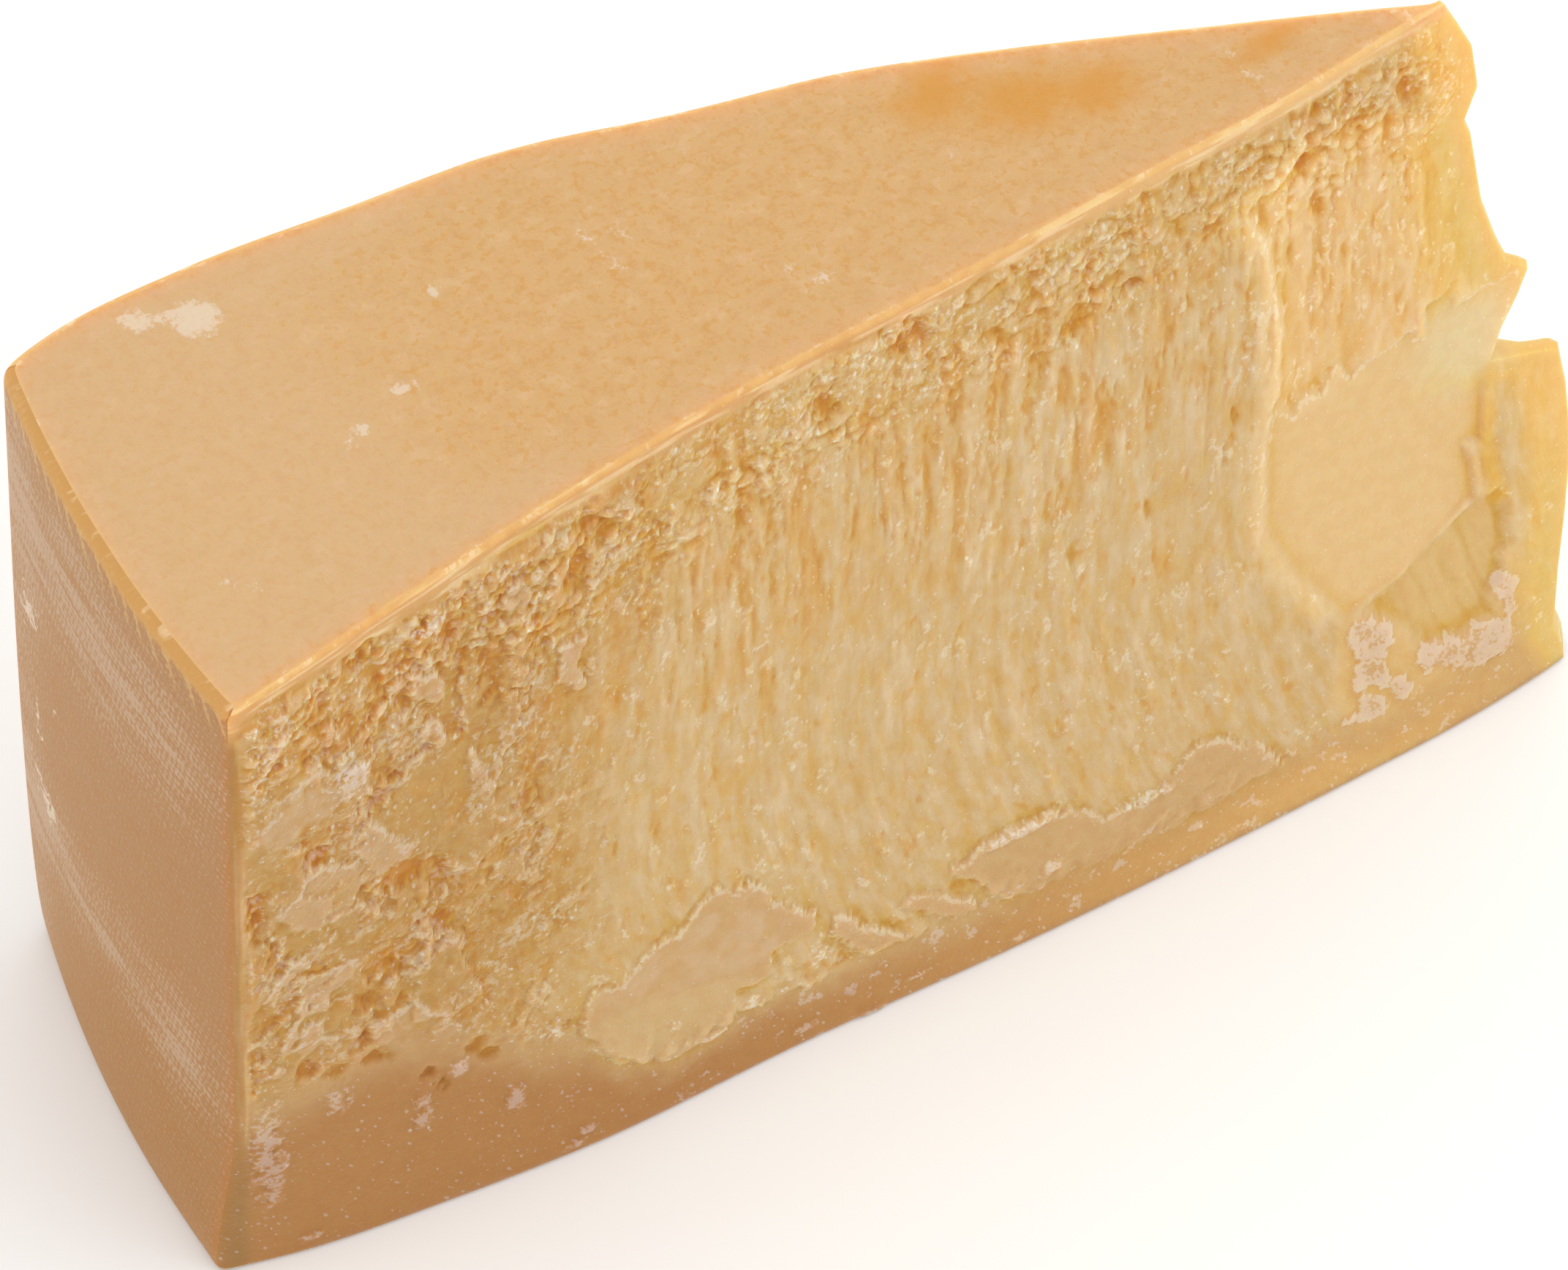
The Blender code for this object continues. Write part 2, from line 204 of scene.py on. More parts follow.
# Areas of the front face, as (x, height)
HOLLOW_AREA = (
    (-42, 131), (-39.2, 123), (-38.2, 119), (-37.2, 110), (-36.7, 105), (-37.2, 100), (-38, 92),
    (-38.7, 88), (-38, 78), (-15, 78), (2, 80), (6, 92), (2, 110), (-2, 128), (-12, 136), (-30, 137),
)
SLAB_AREA = (
    (-38.7, 88), (-34.6, 83.3), (-32, 86), (-28, 85), (-25.3, 89.5), (-22, 85.5), (-17.4, 87.5),
    (-12.7, 87.5), (-9, 89.6), (-8.3, 86), (-6, 85), (-6.3, 91), (0, 94), (0.5, 88.5), (6, 89), (15, 89),
    (8, 76), (6.3, 72), (5.5, 67), (4.6, 58), (0.8, 59.4), (2.1, 54.7), (2.7, 45.8), (0.6, 46.4),
    (-3.3, 44.3), (-11, 40), (-19, 38), (-25.7, 36.5), (-32, 47.4), (-37.2, 55.7), (-41, 65), (-39.8, 81),
)
UNDERCUT_AREA = (
    (-21.6, 36), (-11, 41), (0.4, 45), (3.2, 46), (8.4, 44.4), (9.6, 35.2), (8, 28), (5.2, 24.8), (6, 20),
    (-1.6, 18.8), (-9.6, 20.8), (-12.8, 25.2), (-15.2, 29.2),
)
LOWER_PLATES = (
    ((-181.6, 31.6), (-178.8, 37.6), (-173.5, 37), (-170.8, 39.2), (-166.4, 41.6), (-162.4, 41.2),
     (-156.8, 45.6), (-154, 48.4), (-150.4, 44.4), (-147.6, 44.4), (-144.4, 40.8), (-143.2, 37.6),
     (-138.8, 33.6), (-134.2, 30), (-134.5, 27), (-143.6, 25.6), (-144.4, 21.2), (-151.4, 21),
     (-151.4, 16.4), (-154.4, 12.4), (-167.2, 13.2), (-171.2, 17.2), (-176.8, 22.4), (-180.8, 28.4)),
    ((-132.8, 23.2), (-131.6, 27.2), (-128.4, 25.2), (-124.4, 20.4), (-120.4, 17.2), (-116.4, 13.2),
     (-120.4, 14), (-124.8, 15.2), (-128.8, 18.4)),
    ((-119.6, 22.4), (-116, 23.6), (-111.6, 21.6), (-104.4, 17.2), (-103.6, 13.6), (-110, 15.2),
     (-115.2, 19.2)),
    ((-108.4, 25.6), (-104, 26), (-102.8, 28), (-95.6, 28.4), (-86.8, 27.6), (-83.6, 26.4), (-78, 21),
     (-70, 20), (-62, 25), (-58.4, 27.2), (-53.6, 25.2), (-51.2, 22.8), (-46, 21.2), (-45.6, 18.8),
     (-40.4, 12.8), (-60, 11), (-84.4, 11.2), (-93.2, 11.2), (-100.4, 15.6), (-103.2, 20.4),
     (-106.4, 22.4)),
)
# The smooth translucent corner under the slab, and the whitish torn patches that lie on it
LEDGE = (
    (-27, 36), (-20, 34), (-14, 30), (-10, 22), (-3, 20), (5, 22), (10, 32), (14, 26), (10, 12),
    (-10, 11), (-24, 12), (-30, 20),
)
LEDGE_PATCHES = (
    ((-25.2, 34.8), (-22.4, 34.4), (-19.6, 32), (-16.8, 29.6), (-16.4, 26.8), (-18, 25.6), (-16.8, 21.6),
     (-18, 19.6), (-15.2, 18), (-14, 15.6), (-13.6, 12.8), (-16, 13.2), (-20, 18.4), (-23.2, 19.6),
     (-25.2, 22.8), (-24, 26.4), (-25.6, 30.8)),
    ((-27.6, 14.8), (-24.8, 14.8), (-23.2, 18.4), (-20, 16.4), (-18.4, 12), (-20.8, 12), (-24, 12.8),
     (-27.2, 13.6)),
    ((-11.6, 22), (-6.4, 20.8), (-1.6, 19.2), (1.2, 20.4), (4.8, 19.2), (8.4, 17.2), (9.6, 14.4),
     (10, 11.2), (7.2, 10.4), (3.6, 11.6), (0, 10.8), (-4.8, 14.8), (-9.2, 16), (-11.6, 19.2)),
    ((6.4, 28), (8.8, 27.6), (10.8, 24.8), (10, 22.4), (10.8, 18.4), (8.8, 18), (7.6, 21.6), (5.6, 24.8)),
)
PLATE_BRIGHT_PART = (
    (-182, 30), (-178, 35), (-174, 37), (-170, 39), (-165.5, 41.4), (-161.5, 40), (-157.5, 44),
    (-153.5, 48), (-150.7, 44.5), (-146.4, 44.2), (-145, 40.8), (-141, 36.8), (-139, 32.8), (-133.6, 30),
    (-135, 26), (-128, 20), (-134, 19), (-144, 20), (-151, 24), (-159, 27), (-170, 29.5),
)
GROOVE = ((5, 76), (6, 69), (5.5, 59), (6, 52), (8, 44))
# Flakes that stand proud among the crags
FLAKES = (
    ((-239.5, 118), (-235.8, 123.3), (-231.3, 125.6), (-227.3, 124.4), (-223.3, 121), (-218, 120),
     (-218.5, 112), (-222.7, 114), (-231.3, 113), (-236.9, 110.8), (-239.2, 113.6)),
    ((-237, 94), (-233.5, 98), (-230.5, 101.5), (-226, 99.5), (-222.5, 98.5), (-223, 103), (-219, 105.5),
     (-216.5, 103), (-213.5, 97), (-211, 94), (-211.5, 91), (-216, 92), (-219.5, 91), (-222, 88.5),
     (-225, 86), (-230.5, 86), (-234.5, 90)),
    ((-207.5, 120), (-205, 119.5), (-203.5, 115), (-203, 114), (-204.5, 112), (-206.5, 115), (-208, 117)),
    ((-181.5, 119.5), (-179, 118.5), (-176, 117.5), (-177, 113), (-176, 111), (-177, 107), (-180, 109),
     (-181.5, 112), (-180.5, 115)),
    ((-199, 108), (-197.5, 106), (-197, 102), (-200.5, 99), (-200, 101.5), (-199.5, 104)),
    ((-214.5, 119), (-212, 119.5), (-211.5, 116.5), (-214, 116)),
    ((-233, 73.8), (-222.7, 74), (-223.3, 69.8), (-226.7, 67.8), (-227.3, 64.7), (-230, 64.4),
     (-231.3, 67), (-234, 66)),
    ((-234.5, 80), (-232, 79), (-233, 76), (-236, 74.5), (-237.5, 71), (-239, 74), (-236.5, 77)),
    ((-233, 62), (-231, 63.5), (-229, 62), (-229, 59), (-226, 57), (-226, 55), (-230, 55.5), (-233.5, 54),
     (-234, 57), (-232, 58.5)),
    ((-232, 69), (-231, 67), (-235.5, 58), (-236.5, 52), (-238, 52), (-235.5, 61)),
    ((-220, 55), (-212, 56), (-208, 52), (-206, 48), (-203, 45), (-203.5, 39), (-207, 38), (-214, 40),
     (-216, 44), (-220, 50)),
    ((-209, 132), (-205, 130), (-203, 125), (-204.5, 122.5), (-207, 124), (-210, 128)),
    ((-192, 138), (-188, 140), (-186, 136), (-188, 133), (-191.5, 134)),
)
# Chalky crumbs of rind: places where they lie thick, as (x, height, half width, half height)
CRUMB_PATCHES = (
    (-239, 30, 3, 14), (-236.5, 139, 3.5, 7), (-239, 134, 2, 6), (-211, 27, 1.4, 5), (-194, 20, 2.0, 3),
    (-226, 38, 2, 3.5), (-164, 21, 1.6, 1.4), (-89, 16.6, 1.6, 1.6), (-222, 119, 3, 5),
    (-204, 33, 1.8, 1.8), (-186, 32, 2.6, 2.6), (-184, 2.4, 2, 0.9), (-232, 4, 2, 0.9),
    (-181, 5, 1.6, 0.8), (-138, 4, 2.4, 0.8), (-125, 1, 2.4, 0.8), (-116, 4.4, 2, 0.7),
    (-95, 2.4, 3, 0.8), (-50, 3, 3, 0.9), (-68, 21, 5, 1.0), (-95, 27, 6, 1.0), (-148, 16.5, 2, 2),
    (-134, 21, 2, 3), (-156, 14, 4, 1), (-204.5, 141, 3, 2),
)
# Deep pits, whose darker orange colour is painted shade, as (x, height, half width, half height)
PITS = (
    (-202, 138, 1.6, 4), (-201, 136, 2.6, 3), (-200, 129, 2, 2), (-190, 142, 2.4, 3), (-191, 137, 1.6, 4),
    (-194, 124, 1.8, 7), (-185, 126, 1.6, 6), (-210.5, 128, 1.6, 2), (-217, 110, 2.5, 3),
    (-229, 103, 2.2, 2.2), (-226, 128, 2, 1.5), (-226.5, 140, 1.2, 4), (-219, 142, 1, 2.5),
    (-161, 128, 2.2, 5), (-161, 122, 1.8, 3), (-145, 122, 1.5, 5), (-139, 119, 1.4, 4),
    (-172, 141, 2.6, 1.8), (-177, 133, 2, 5), (-128, 139, 2.6, 3), (-103, 125, 1, 3.5),
    (-111, 143, 3, 2.5), (-86, 120, 1.8, 4), (-78, 128, 2.2, 3), (-66, 129, 1.5, 1.2),
    (-50, 132, 1.6, 1.6), (-29.5, 134, 1.2, 2), (-27, 144, 2, 1.8), (-27, 122.5, 1.3, 2.4),
    (-10.6, 121, 2.1, 3), (-8.7, 115.5, 1.2, 3.2), (-20, 137, 4, 2), (-8, 137, 1.5, 3), (-190, 90, 2, 4),
    (-206, 82, 1.6, 4), (-221.5, 52, 1.7, 2), (-219, 45, 2.2, 1.8), (-227, 46, 2.2, 2),
    (-232, 50, 1.2, 2.4), (-215, 67, 1.8, 2.4), (-221, 61.5, 1.5, 2), (-209.5, 34.5, 1.6, 1.4),
    (-207.5, 31, 1.2, 1.2), (-200.5, 36.5, 1.5, 2), (-198.5, 33.5, 1.6, 1.2), (-236, 79, 1.6, 2.6),
    (-240, 94, 1.2, 5), (-183.5, 32, 1.4, 1.4), (-119, 18, 3, 1.6), (-148, 21, 2, 2), (-81, 81, 0.8, 2),
    (-66, 82, 0.7, 1.4), (-50, 86, 0.7, 1.8), (-47, 92, 0.6, 2), (-140, 86, 0.6, 2), (-107, 19, 1.6, 3),
    (-213, 88, 4, 3), (-208, 73, 3, 3),
)

# Where the rind on top is dusty or blotched: (x, y, half length, half width, turn in degrees)
TOP_DUST = (
    (-212.5, 34.5, 6, 4.5, -50), (-221, 39, 5, 2.5, -20), (-131, 30.5, 1.4, 1.2, 0),
    (-125, 30, 2.6, 1.3, 20), (-120, -4, 1.8, 1.2, 0), (-124, -0.5, 1.6, 0.8, 30),
    (-122.5, 9.7, 1.6, 0.8, 0), (-105, 8, 1, 0.6, 0), (-88, 8.5, 0.9, 0.9, 0), (-190, 7, 5, 1.2, 30),
    (-200, 2.5, 5, 1.0, 30), (-176.5, 22, 1, 0.8, 0),
)
TOP_BLOTCHES = ((-84, 21, 10, 7, 20), (-72, 14, 14, 8, -10), (-60, 10, 9, 6, 10), (-30, 6, 9, 3, 15))
# Fine scratches on top, from end to end
TOP_SCRATCHES = (
    ((-234, -14), (-227, -19)), ((-37, 7), (-35, -5)), ((-150, 24), (-147, 10)), ((-146, 26), (-143, 17)),
)
# White marks on the rim: (y, height, half width, half height, turn in degrees)
RIM_MARKS = ((26, 55, 7, 7, 0), (19, 86, 2.0, 1.6, 0), (27, 75, 3, 5, 0), (30, 100, 5, 8, 0))
# Belts of dust on the rim: (height, half height)
CLOTH_BELTS = ((124, 30), (48, 22))
CLOTH_FOLD_MM = 4.6
# The base's distance to the top edge, which keeps the painted highlight along that edge off it
UNDER_GAP_MM = 150.0

# ---------------------------------------------------------------- colours and markings
# What the material reads at each point, three values to a name
PACKS = {"torn": ("lip", "pit", "cavity"), "broken": ("rough", "crumb", "crumbly"),
         "strewn": ("chips", "chalk", "dust"), "rind": ("edge_gap", "marking", "waxy")}
PASTE = "#CBAE7D"
# Colours laid over each other in this order, some the paste's own and some painted light, as noted: (what,
# how strongly, colour)
ZONES = (
    # crest: painted highlight on the fibre ridges; trough: painted shade between them
    ("crest", 0.45, "#D8BE96"), ("trough", 0.45, "#CFA04A"), ("brow", 0.4, "#D8BE96"),
    # drawn_hole: painted shade in drawn holes and dents, and darker fibre streaks in the recess
    ("crag", 0.85, "#B4893F"), ("belt", 0.5, "#C69E58"), ("drawn_hole", 0.65, "#CE973A"),
    ("ridge", 0.9, "#E0C18B"), ("bay", 0.7, "#E2BC82"), ("ledge", 0.8, "#D8B272"),
    ("recess", 1.0, "#D2B072"), ("patch", 0.9, "#C9A26E"), ("slab", 1.0, "#DBB981"),
    ("flake", 0.6, "#C4A27C"), ("plate", 0.85, "#C49E68"), ("haze", 0.7, "#CBAC86"),
    # sunk: painted shade in the wide hollows
    ("sunk", 0.45, "#D89E2C"), ("band", 1.0, "#AD7A3C"), ("tip_band", 0.9, "#DAB06A"),
    # thin and the two after it: a painted glow of light shining through the thin paste by the tip and round
    # the notch
    ("thin", 1.0, "#DFB95A"), ("thinnest", 0.5, "#CFBA78"), ("notch", 0.8, "#DAC89C"),
    ("groove", 0.8, "#DAAE44"), ("strip", 1.0, "#CDA062"), ("tip_strip", 0.6, "#DEBE84"),
    ("strip_line", 0.7, "#E2CCA0"), ("rind_line", 0.9, "#9A7234"), ("base_line", 0.6, "#A67C60"),
)
# The material's noises: (width and length of a bump in mm, detail, roughness)
NOISES = {"fine": (1.0, 1.0, 2.0, 0.6), "grain": (3.2, 3.2, 2.0, 0.5), "flaky": (5.0, 4.2, 4.0, 0.62),
          "crumbling": (2.0, 1.7, 3.0, 0.6), "streaky": (3.0, 8.0, 3.0, 0.62)}
# The cheesecloth's threads: (turn in degrees, mm from thread to thread)
CLOTH_THREADS = ((12.0, 1.25), (96.0, 1.6))
CLOTH_BEND = 9.0
SPECK_CELL_MM = (1.5, 2.1)
# Fine markings, laid on in this order: (how strongly, colour, and the masks that limit it). A mask is the
# name of a pattern, or that with a noise, how much the noise frays its border, and where the border starts
# and ends. "no" before a name stands for where the pattern is missing.
HOLLOWS = (
    (0.25, "#F4E4C8", ("grain", "fine", 0.3, 0.35, 0.65)),
    (0.5, "#FEECA0", "waxy", ("no streaky", "fine", 0.1, 0.34, 0.54)),
    (0.5, "#FFEE60", "rough", ("no flaky", "fine", 0.1, 0.36, 0.52)),
    # painted shade in small hollows of the relief
    (0.6, "#FFEE60", ("cavity", "fine", 0.3, 0.0, 0.5)),
    # painted shade in the gaps between crumbs
    (0.4, "#FFEE60", "crumbly", ("no crumb", "fine", 0.3, 0.0, 0.3)),
    (0.25, "#FFEE60", "rough", ("no crumbling", "fine", 0.1, 0.34, 0.48)),
    # painted shade in pits and at the feet of torn flakes
    (0.85, "#FBDE3C", ("pit", "grain", 0.6, 0.1, 1.0)),
)
TORN_WHITES = (
    (0.5, "#304656", "waxy", ("streaky", "fine", 0.12, 0.5, 0.7)),
    # painted highlight on raised places of the relief
    (0.3, "#3A5464", ("no cavity", "fine", 0.3, -0.5, 0.0)),
    (0.2, "#3A5464", "rough", ("crumbling", "fine", 0.2, 0.54, 0.7)),
    # paler crumb tops, partly their own paleness and partly painted highlight
    (0.5, "#3E5866", "crumbly", ("crumb", "fine", 1.0, 0.35, 0.75)),
    (0.45, "#3E5862", "rough", ("no tear", "fine", 0.06, 0.008, 0.028)),
    # whitish torn lips, partly their own whiteness and partly painted highlight where they face up
    (0.8, "#46626E", ("lip", "fine", 2.0, 0.4, 0.8)),
    (0.9, "#4A6678", ("chalk", "fine", 2.0, 0.35, 0.7)),
    # scattered white bits: crystals, and also a stand-in for glints, a painted highlight
    (0.9, "#506A78", "specks"),
)
RIND_LAYERS = (
    # the rim darker and browner than the top: partly its own browner rind, partly painted shade on the side
    # turned from the light
    (1.0, "#A8763A", "rim"),
    (0.5, "#A86E22", "rim", ("no flaky", "fine", 0.3, 0.3, 0.6)),
    (0.7, "#C0A082", "rim", ("woven", "fine", 0.9, 0.1, 0.9)),
    (0.7, "#CBA45E", "rim", ("waxy", "fine", 0.7, 0.2, 0.9)),
    # the top lighter than the rim: partly its own rind, partly painted light where it faces the light
    (1.0, "#D3AA72", "top"),
    (0.5, "#C8944E", "top", ("grain", "fine", 0.8, 0.4, 0.9)),
    (0.35, "#DCBC94", "top", ("flaky", "fine", 0.3, 0.52, 0.72)),
    (0.5, "#CE963E", "top", ("no crumbling", "fine", 0.3, 0.32, 0.46)),
    (0.5, "#D4B288", "top", ("waxy", "grain", 0.8, 0.2, 0.9)),
    (0.8, "#D29432", "top", "marking"),
    # painted highlight in a thin line along the top edges
    (0.5, "#DDBA7A", "edge", "no rim"),
    (0.6, "#E6D4B2", "edge", ("flaky", "fine", 0.3, 0.58, 0.68)),
    (0.4, "#E0CBAE", "top", "specks"),
    (0.8, "#E0CDB4", ("dust", "fine", 1.4, 0.3, 0.8)),
)
# Multiplying deepens the noise's lows and paints shade into hollows, pits and the gaps between crumbs,
# adding whitens the torn edges and paints highlights, and the rind covers what it lies on, with a
# painted highlight along the top edges
LAYERS = (("MULTIPLY", HOLLOWS), ("ADD", TORN_WHITES), ("MIX", RIND_LAYERS))
BUMP_STRENGTH = 0.42
BUMP_DEPTH_MM = 0.4
CHEESE_SHADER = {"Roughness": 0.5, "IOR": 1.45, "Subsurface Weight": 1.0,
                 "Subsurface Radius": (1.0, 0.4, 0.15), "Subsurface Scale": 0.007}

# ---------------------------------------------------------------- the studio
CAMERA_TURN_DEG = -32.4
CAMERA_HEIGHT_DEG = 52.0
CAMERA_ROLL_DEG = 3.71
CAMERA_DISTANCE = 1.50
CAMERA_TARGET_MM = np.array((-150.0, 0.0, 75.0))
CAMERA_SIDESTEP = (0.0251, -0.0028)
IMAGE_WIDTH_PX = 2144
FOCAL_LENGTH_PX = 12381
SENSOR_WIDTH_MM = 36.0
CAMERA_CLIP_START = 0.05
FLOOR_HALF_WIDTH = 3.0
FLOOR_GAP = 0.0003
PAPER_ROUGHNESS = 0.8
SURROUND_STRENGTH = 1.08
LAMP_PLACE = (0.75, -0.45, 1.15)
LAMP_TARGET = (0.0, 0.0, 0.06)
LAMP_SIZE = 1.6
LAMP_WATTS = 3.0


def ramp(low, high, value):
    """0 below low, 1 above high and a soft change between."""
    share = np.clip((value - low) / (high - low), 0.0, 1.0)
    return share * share * (3.0 - 2.0 * share)


def fade(low, high, value):
    """1 below low, 0 above high and a soft change between."""
    return 1 - ramp(low, high, value)


def smooth_through(points, where):
    """Read a smooth curve through a few (place, value) points."""
    place, value = np.array(points, dtype=float).T
    slope = np.gradient(value, place)
    where = np.clip(where, place[0], place[-1])
    low = np.clip(np.searchsorted(place, where) - 1, 0, len(place) - 2)
    width = place[low + 1] - place[low]
    t = (where - place[low]) / width
    start = (1 + 2 * t) * (1 - t) ** 2 * value[low] + t * (1 - t) ** 2 * width * slope[low]
    end = t * t * (3 - 2 * t) * value[low + 1] + t * t * (t - 1) * width * slope[low + 1]
    return start + end


def straight_through(points, where):
    """Read straight runs between (place, value) points."""
    place, value = np.array(points, dtype=float).T
    return np.interp(where, place, value)


def cell_value(column, row, salt):
    """A repeatable value from 0 to 1 for each cell of a grid."""
    mixed = (column * 374761393 + row * 668265263 + salt * 974634777) & 0xFFFFFFFF
    mixed = ((mixed ^ (mixed >> 13)) * 1274126177) & 0xFFFFFFFF
    return ((mixed ^ (mixed >> 16)) & 0xFFFF) / 65535.0


def waves(u, v, salt):
    """Smooth noise from -1 to 1, about one bump for each unit of u and v."""
    column, row = np.floor(u).astype(np.int64), np.floor(v).astype(np.int64)
    fu, fv = u - column, v - row
    fu, fv = fu * fu * (3 - 2 * fu), fv * fv * (3 - 2 * fv)
    low = cell_value(column, row, salt) * (1 - fu) + cell_value(column + 1, row, salt) * fu
    high = cell_value(column, row + 1, salt) * (1 - fu) + cell_value(column + 1, row + 1, salt) * fu
    return 2 * (low * (1 - fv) + high * fv) - 1


def ragged(u, v, salt, octaves=4, gain=0.55):
    """Noise with ever finer detail, from about -1 to 1."""
    total, strength, most = 0.0, 1.0, 0.0
    for k in range(octaves):
        turn = 0.7 * k
        across = u * math.cos(turn) - v * math.sin(turn)
        up = u * math.sin(turn) + v * math.cos(turn)
        total = total + strength * waves(across * 2 ** k + 17.3 * k, up * 2 ** k - 31.7 * k, salt + k)
        most += strength
        strength *= gain
    return 1.6 * total / most


def cells_near(u, v):
    """The nine cells about each place, and where the place lies from each cell's corner."""
    column, row = np.floor(u).astype(np.int64), np.floor(v).astype(np.int64)
    for step_u in (-1, 0, 1):
        for step_v in (-1, 0, 1):
            c, r = column + step_u, row + step_v
            yield c, r, u - c, v - r


def facets(across, up, size, salt):
    """Broken facets from -1 to 1: tilted planes of scattered crumbs, blended where they meet."""
    relief, weights = np.zeros(across.shape), np.zeros(across.shape)
    for c, r, du, dv in cells_near(across / size, up / size):
        own = [cell_value(c, r, salt + k) for k in range(5)]
        du, dv = du - own[0], dv - own[1]
        lift, tilt_u, tilt_v = (2 * value - 1 for value in own[2:])
        weight = np.exp(-FACET_SHARPNESS * (du * du + dv * dv))
        relief += weight * (0.6 * lift + 0.7 * (tilt_u * du + tilt_v * dv))
        weights += weight
    return np.clip(relief / weights, -1.0, 1.0)


def crumbs(u, v, salt):
    """Scattered round crumbs: how high a place stands on its crumb, 0 to 1, and the crumb's own value."""
    height, own = np.zeros(u.shape), np.zeros(u.shape)
    for c, r, du, dv in cells_near(u, v):
        du = du - 0.15 - 0.7 * cell_value(c, r, salt)
        dv = dv - 0.15 - 0.7 * cell_value(c, r, salt + 1)
        size = 0.45 + 0.35 * cell_value(c, r, salt + 2)
        here = np.clip(1 - (du * du + dv * dv) / (size * size), 0.0, 1.0)
        higher = here > height
        own = np.where(higher, cell_value(c, r, salt + 3), own)
        height = np.where(higher, here, height)
    return height, own


def by_line(x, z, start, end):
    """Distance to a short straight line."""
    (ax, az), (bx, bz) = start, end
    along = ((x - ax) * (bx - ax) + (z - az) * (bz - az)) / ((bx - ax) ** 2 + (bz - az) ** 2)
    along = np.clip(along, 0.0, 1.0)
    return np.hypot(x - ax - along * (bx - ax), z - az - along * (bz - az))


def depth_inside(area, x, z):
    """Distance to an area's border, positive inside the area."""
    corner = np.array(area, dtype=float)
    closest = np.full(x.shape, np.inf)
    inside = np.zeros(x.shape, dtype=bool)
    for (ax, az), (bx, bz) in zip(corner, np.roll(corner, -1, axis=0)):
        closest = np.minimum(closest, by_line(x, z, (ax, az), (bx, bz)))
        crosses = (az > z) != (bz > z)
        rise = np.where(crosses, bz - az, 1.0)
        inside ^= crosses & (x < ax + (z - az) * (bx - ax) / rise)
    return np.where(inside, closest, -closest)


def in_oval(x, z, middle_x, middle_z, half_x, half_z, turn_deg=0.0):
    """How deep a place lies in an oval: 1 in its middle, 0 on its border, negative outside."""
    turn = math.radians(turn_deg)
    dx, dz = x - middle_x, z - middle_z
    along = dx * math.cos(turn) + dz * math.sin(turn)
    across = dz * math.cos(turn) - dx * math.sin(turn)
    return 1 - np.hypot(along / half_x, across / half_z)


def highest(fields, least=0.0):
    """The highest of some fields at every place, and never under the least."""
    return reduce(np.maximum, fields, least)


def blurred(field, passes):
    """A field on the face's points, averaged with its neighbours again and again."""
    for _ in range(passes):
        padded = np.pad(field, 1, mode="edge")
        field = (padded[1:-1, :-2] + 2 * field + padded[1:-1, 2:]) / 4
        padded = np.pad(field, 1, mode="edge")
        field = (padded[:-2, 1:-1] + 2 * field + padded[2:, 1:-1]) / 4
    return field


# ---------------------------------------------------------------- base form
def front_y(x, z):
    """Where the front face runs before its relief."""
    base = smooth_through(FRONT_BASE_EDGE, x)
    return base + (smooth_through(FRONT_TOP_EDGE, x) - base) * z / WHEEL_HEIGHT_MM


def back_y(x, z):
    """Where the back face runs before its relief, never closer to the front than the tip is thick."""
    base = smooth_through(BACK_BASE_EDGE, x)
    y = base + (smooth_through(BACK_TOP_EDGE, x) - base) * z / WHEEL_HEIGHT_MM
    return np.maximum(y, front_y(x, z) + straight_through(TIP_THICKNESS, z))


def rounding(distance, length, depth):
    """How far an elliptic rounding of this length and depth draws in, this far from its start."""
    share = np.clip(1 - distance / length, 0.0, 1.0)
    return depth * (1 - np.sqrt(1 - share * share))


def rim_x(y, z):
    """The rim's surface: the wheel's edge, drawn in at the base's back and flared at its front."""
    to_back = np.clip((y + RIM_HALF_WIDTH_MM) / (2 * RIM_HALF_WIDTH_MM), 0.0, 1.0)
    height = DRAW_IN_HEIGHT_MM[0] + (DRAW_IN_HEIGHT_MM[1] - DRAW_IN_HEIGHT_MM[0]) * to_back
    depth = DRAW_IN_DEPTH_MM[0] + (DRAW_IN_DEPTH_MM[1] - DRAW_IN_DEPTH_MM[0]) * to_back ** 1.5
    drawn_in = rounding(z, height, depth)
    drawn_in = drawn_in + rounding(WHEEL_HEIGHT_MM - z, TOP_RIM_ROUNDING_MM, TOP_RIM_ROUNDING_MM)
    flare = RIM_FLARE_MM * (1 - to_back) * fade(0.0, RIM_FLARE_HEIGHT_MM, z)
    radius = WHEEL_RADIUS_MM + flare - drawn_in
    return -np.sqrt(radius * radius - y * y)


def rim_corner(face_y, z):
    """The corner where a broken face meets the rim."""
    x = np.full(z.shape, -WHEEL_RADIUS_MM)
    for _ in range(6):
        x = rim_x(face_y(x, z), z)
    return x


def edge_rounding(x, z):
    """How far the broken faces draw in along their top and base edges, less where the paste is thin."""
    from_top = rounding(WHEEL_HEIGHT_MM - z, EDGE_ROUNDING_MM, EDGE_ROUNDING_MM)
    wanted = from_top + rounding(z, EDGE_ROUNDING_MM, EDGE_ROUNDING_MM)
    return np.minimum(wanted, 0.25 * (back_y(x, z) - front_y(x, z)))


def levels():
    """Heights of the outlines, from the base to the top."""
    heights, low = [0.0], 0.0
    for high, most in LEVEL_RUNS:
        count = int(np.ceil((high - low) / most))
        heights += [low + (high - low) * k / count for k in range(1, count + 1)]
        low = high
    return np.array(heights)


def stations(corner, tip_line, tip, count):
    """Places along a face at every height, rim to tip, with the torn tip taken up near its end."""
    share = np.linspace(0.0, 1.0, count)
    even = corner[:, None] + (tip_line - corner)[:, None] * share
    return even + (tip - tip_line)[:, None] * ramp(1.0 - TORN_SHARE, 1.0, share)


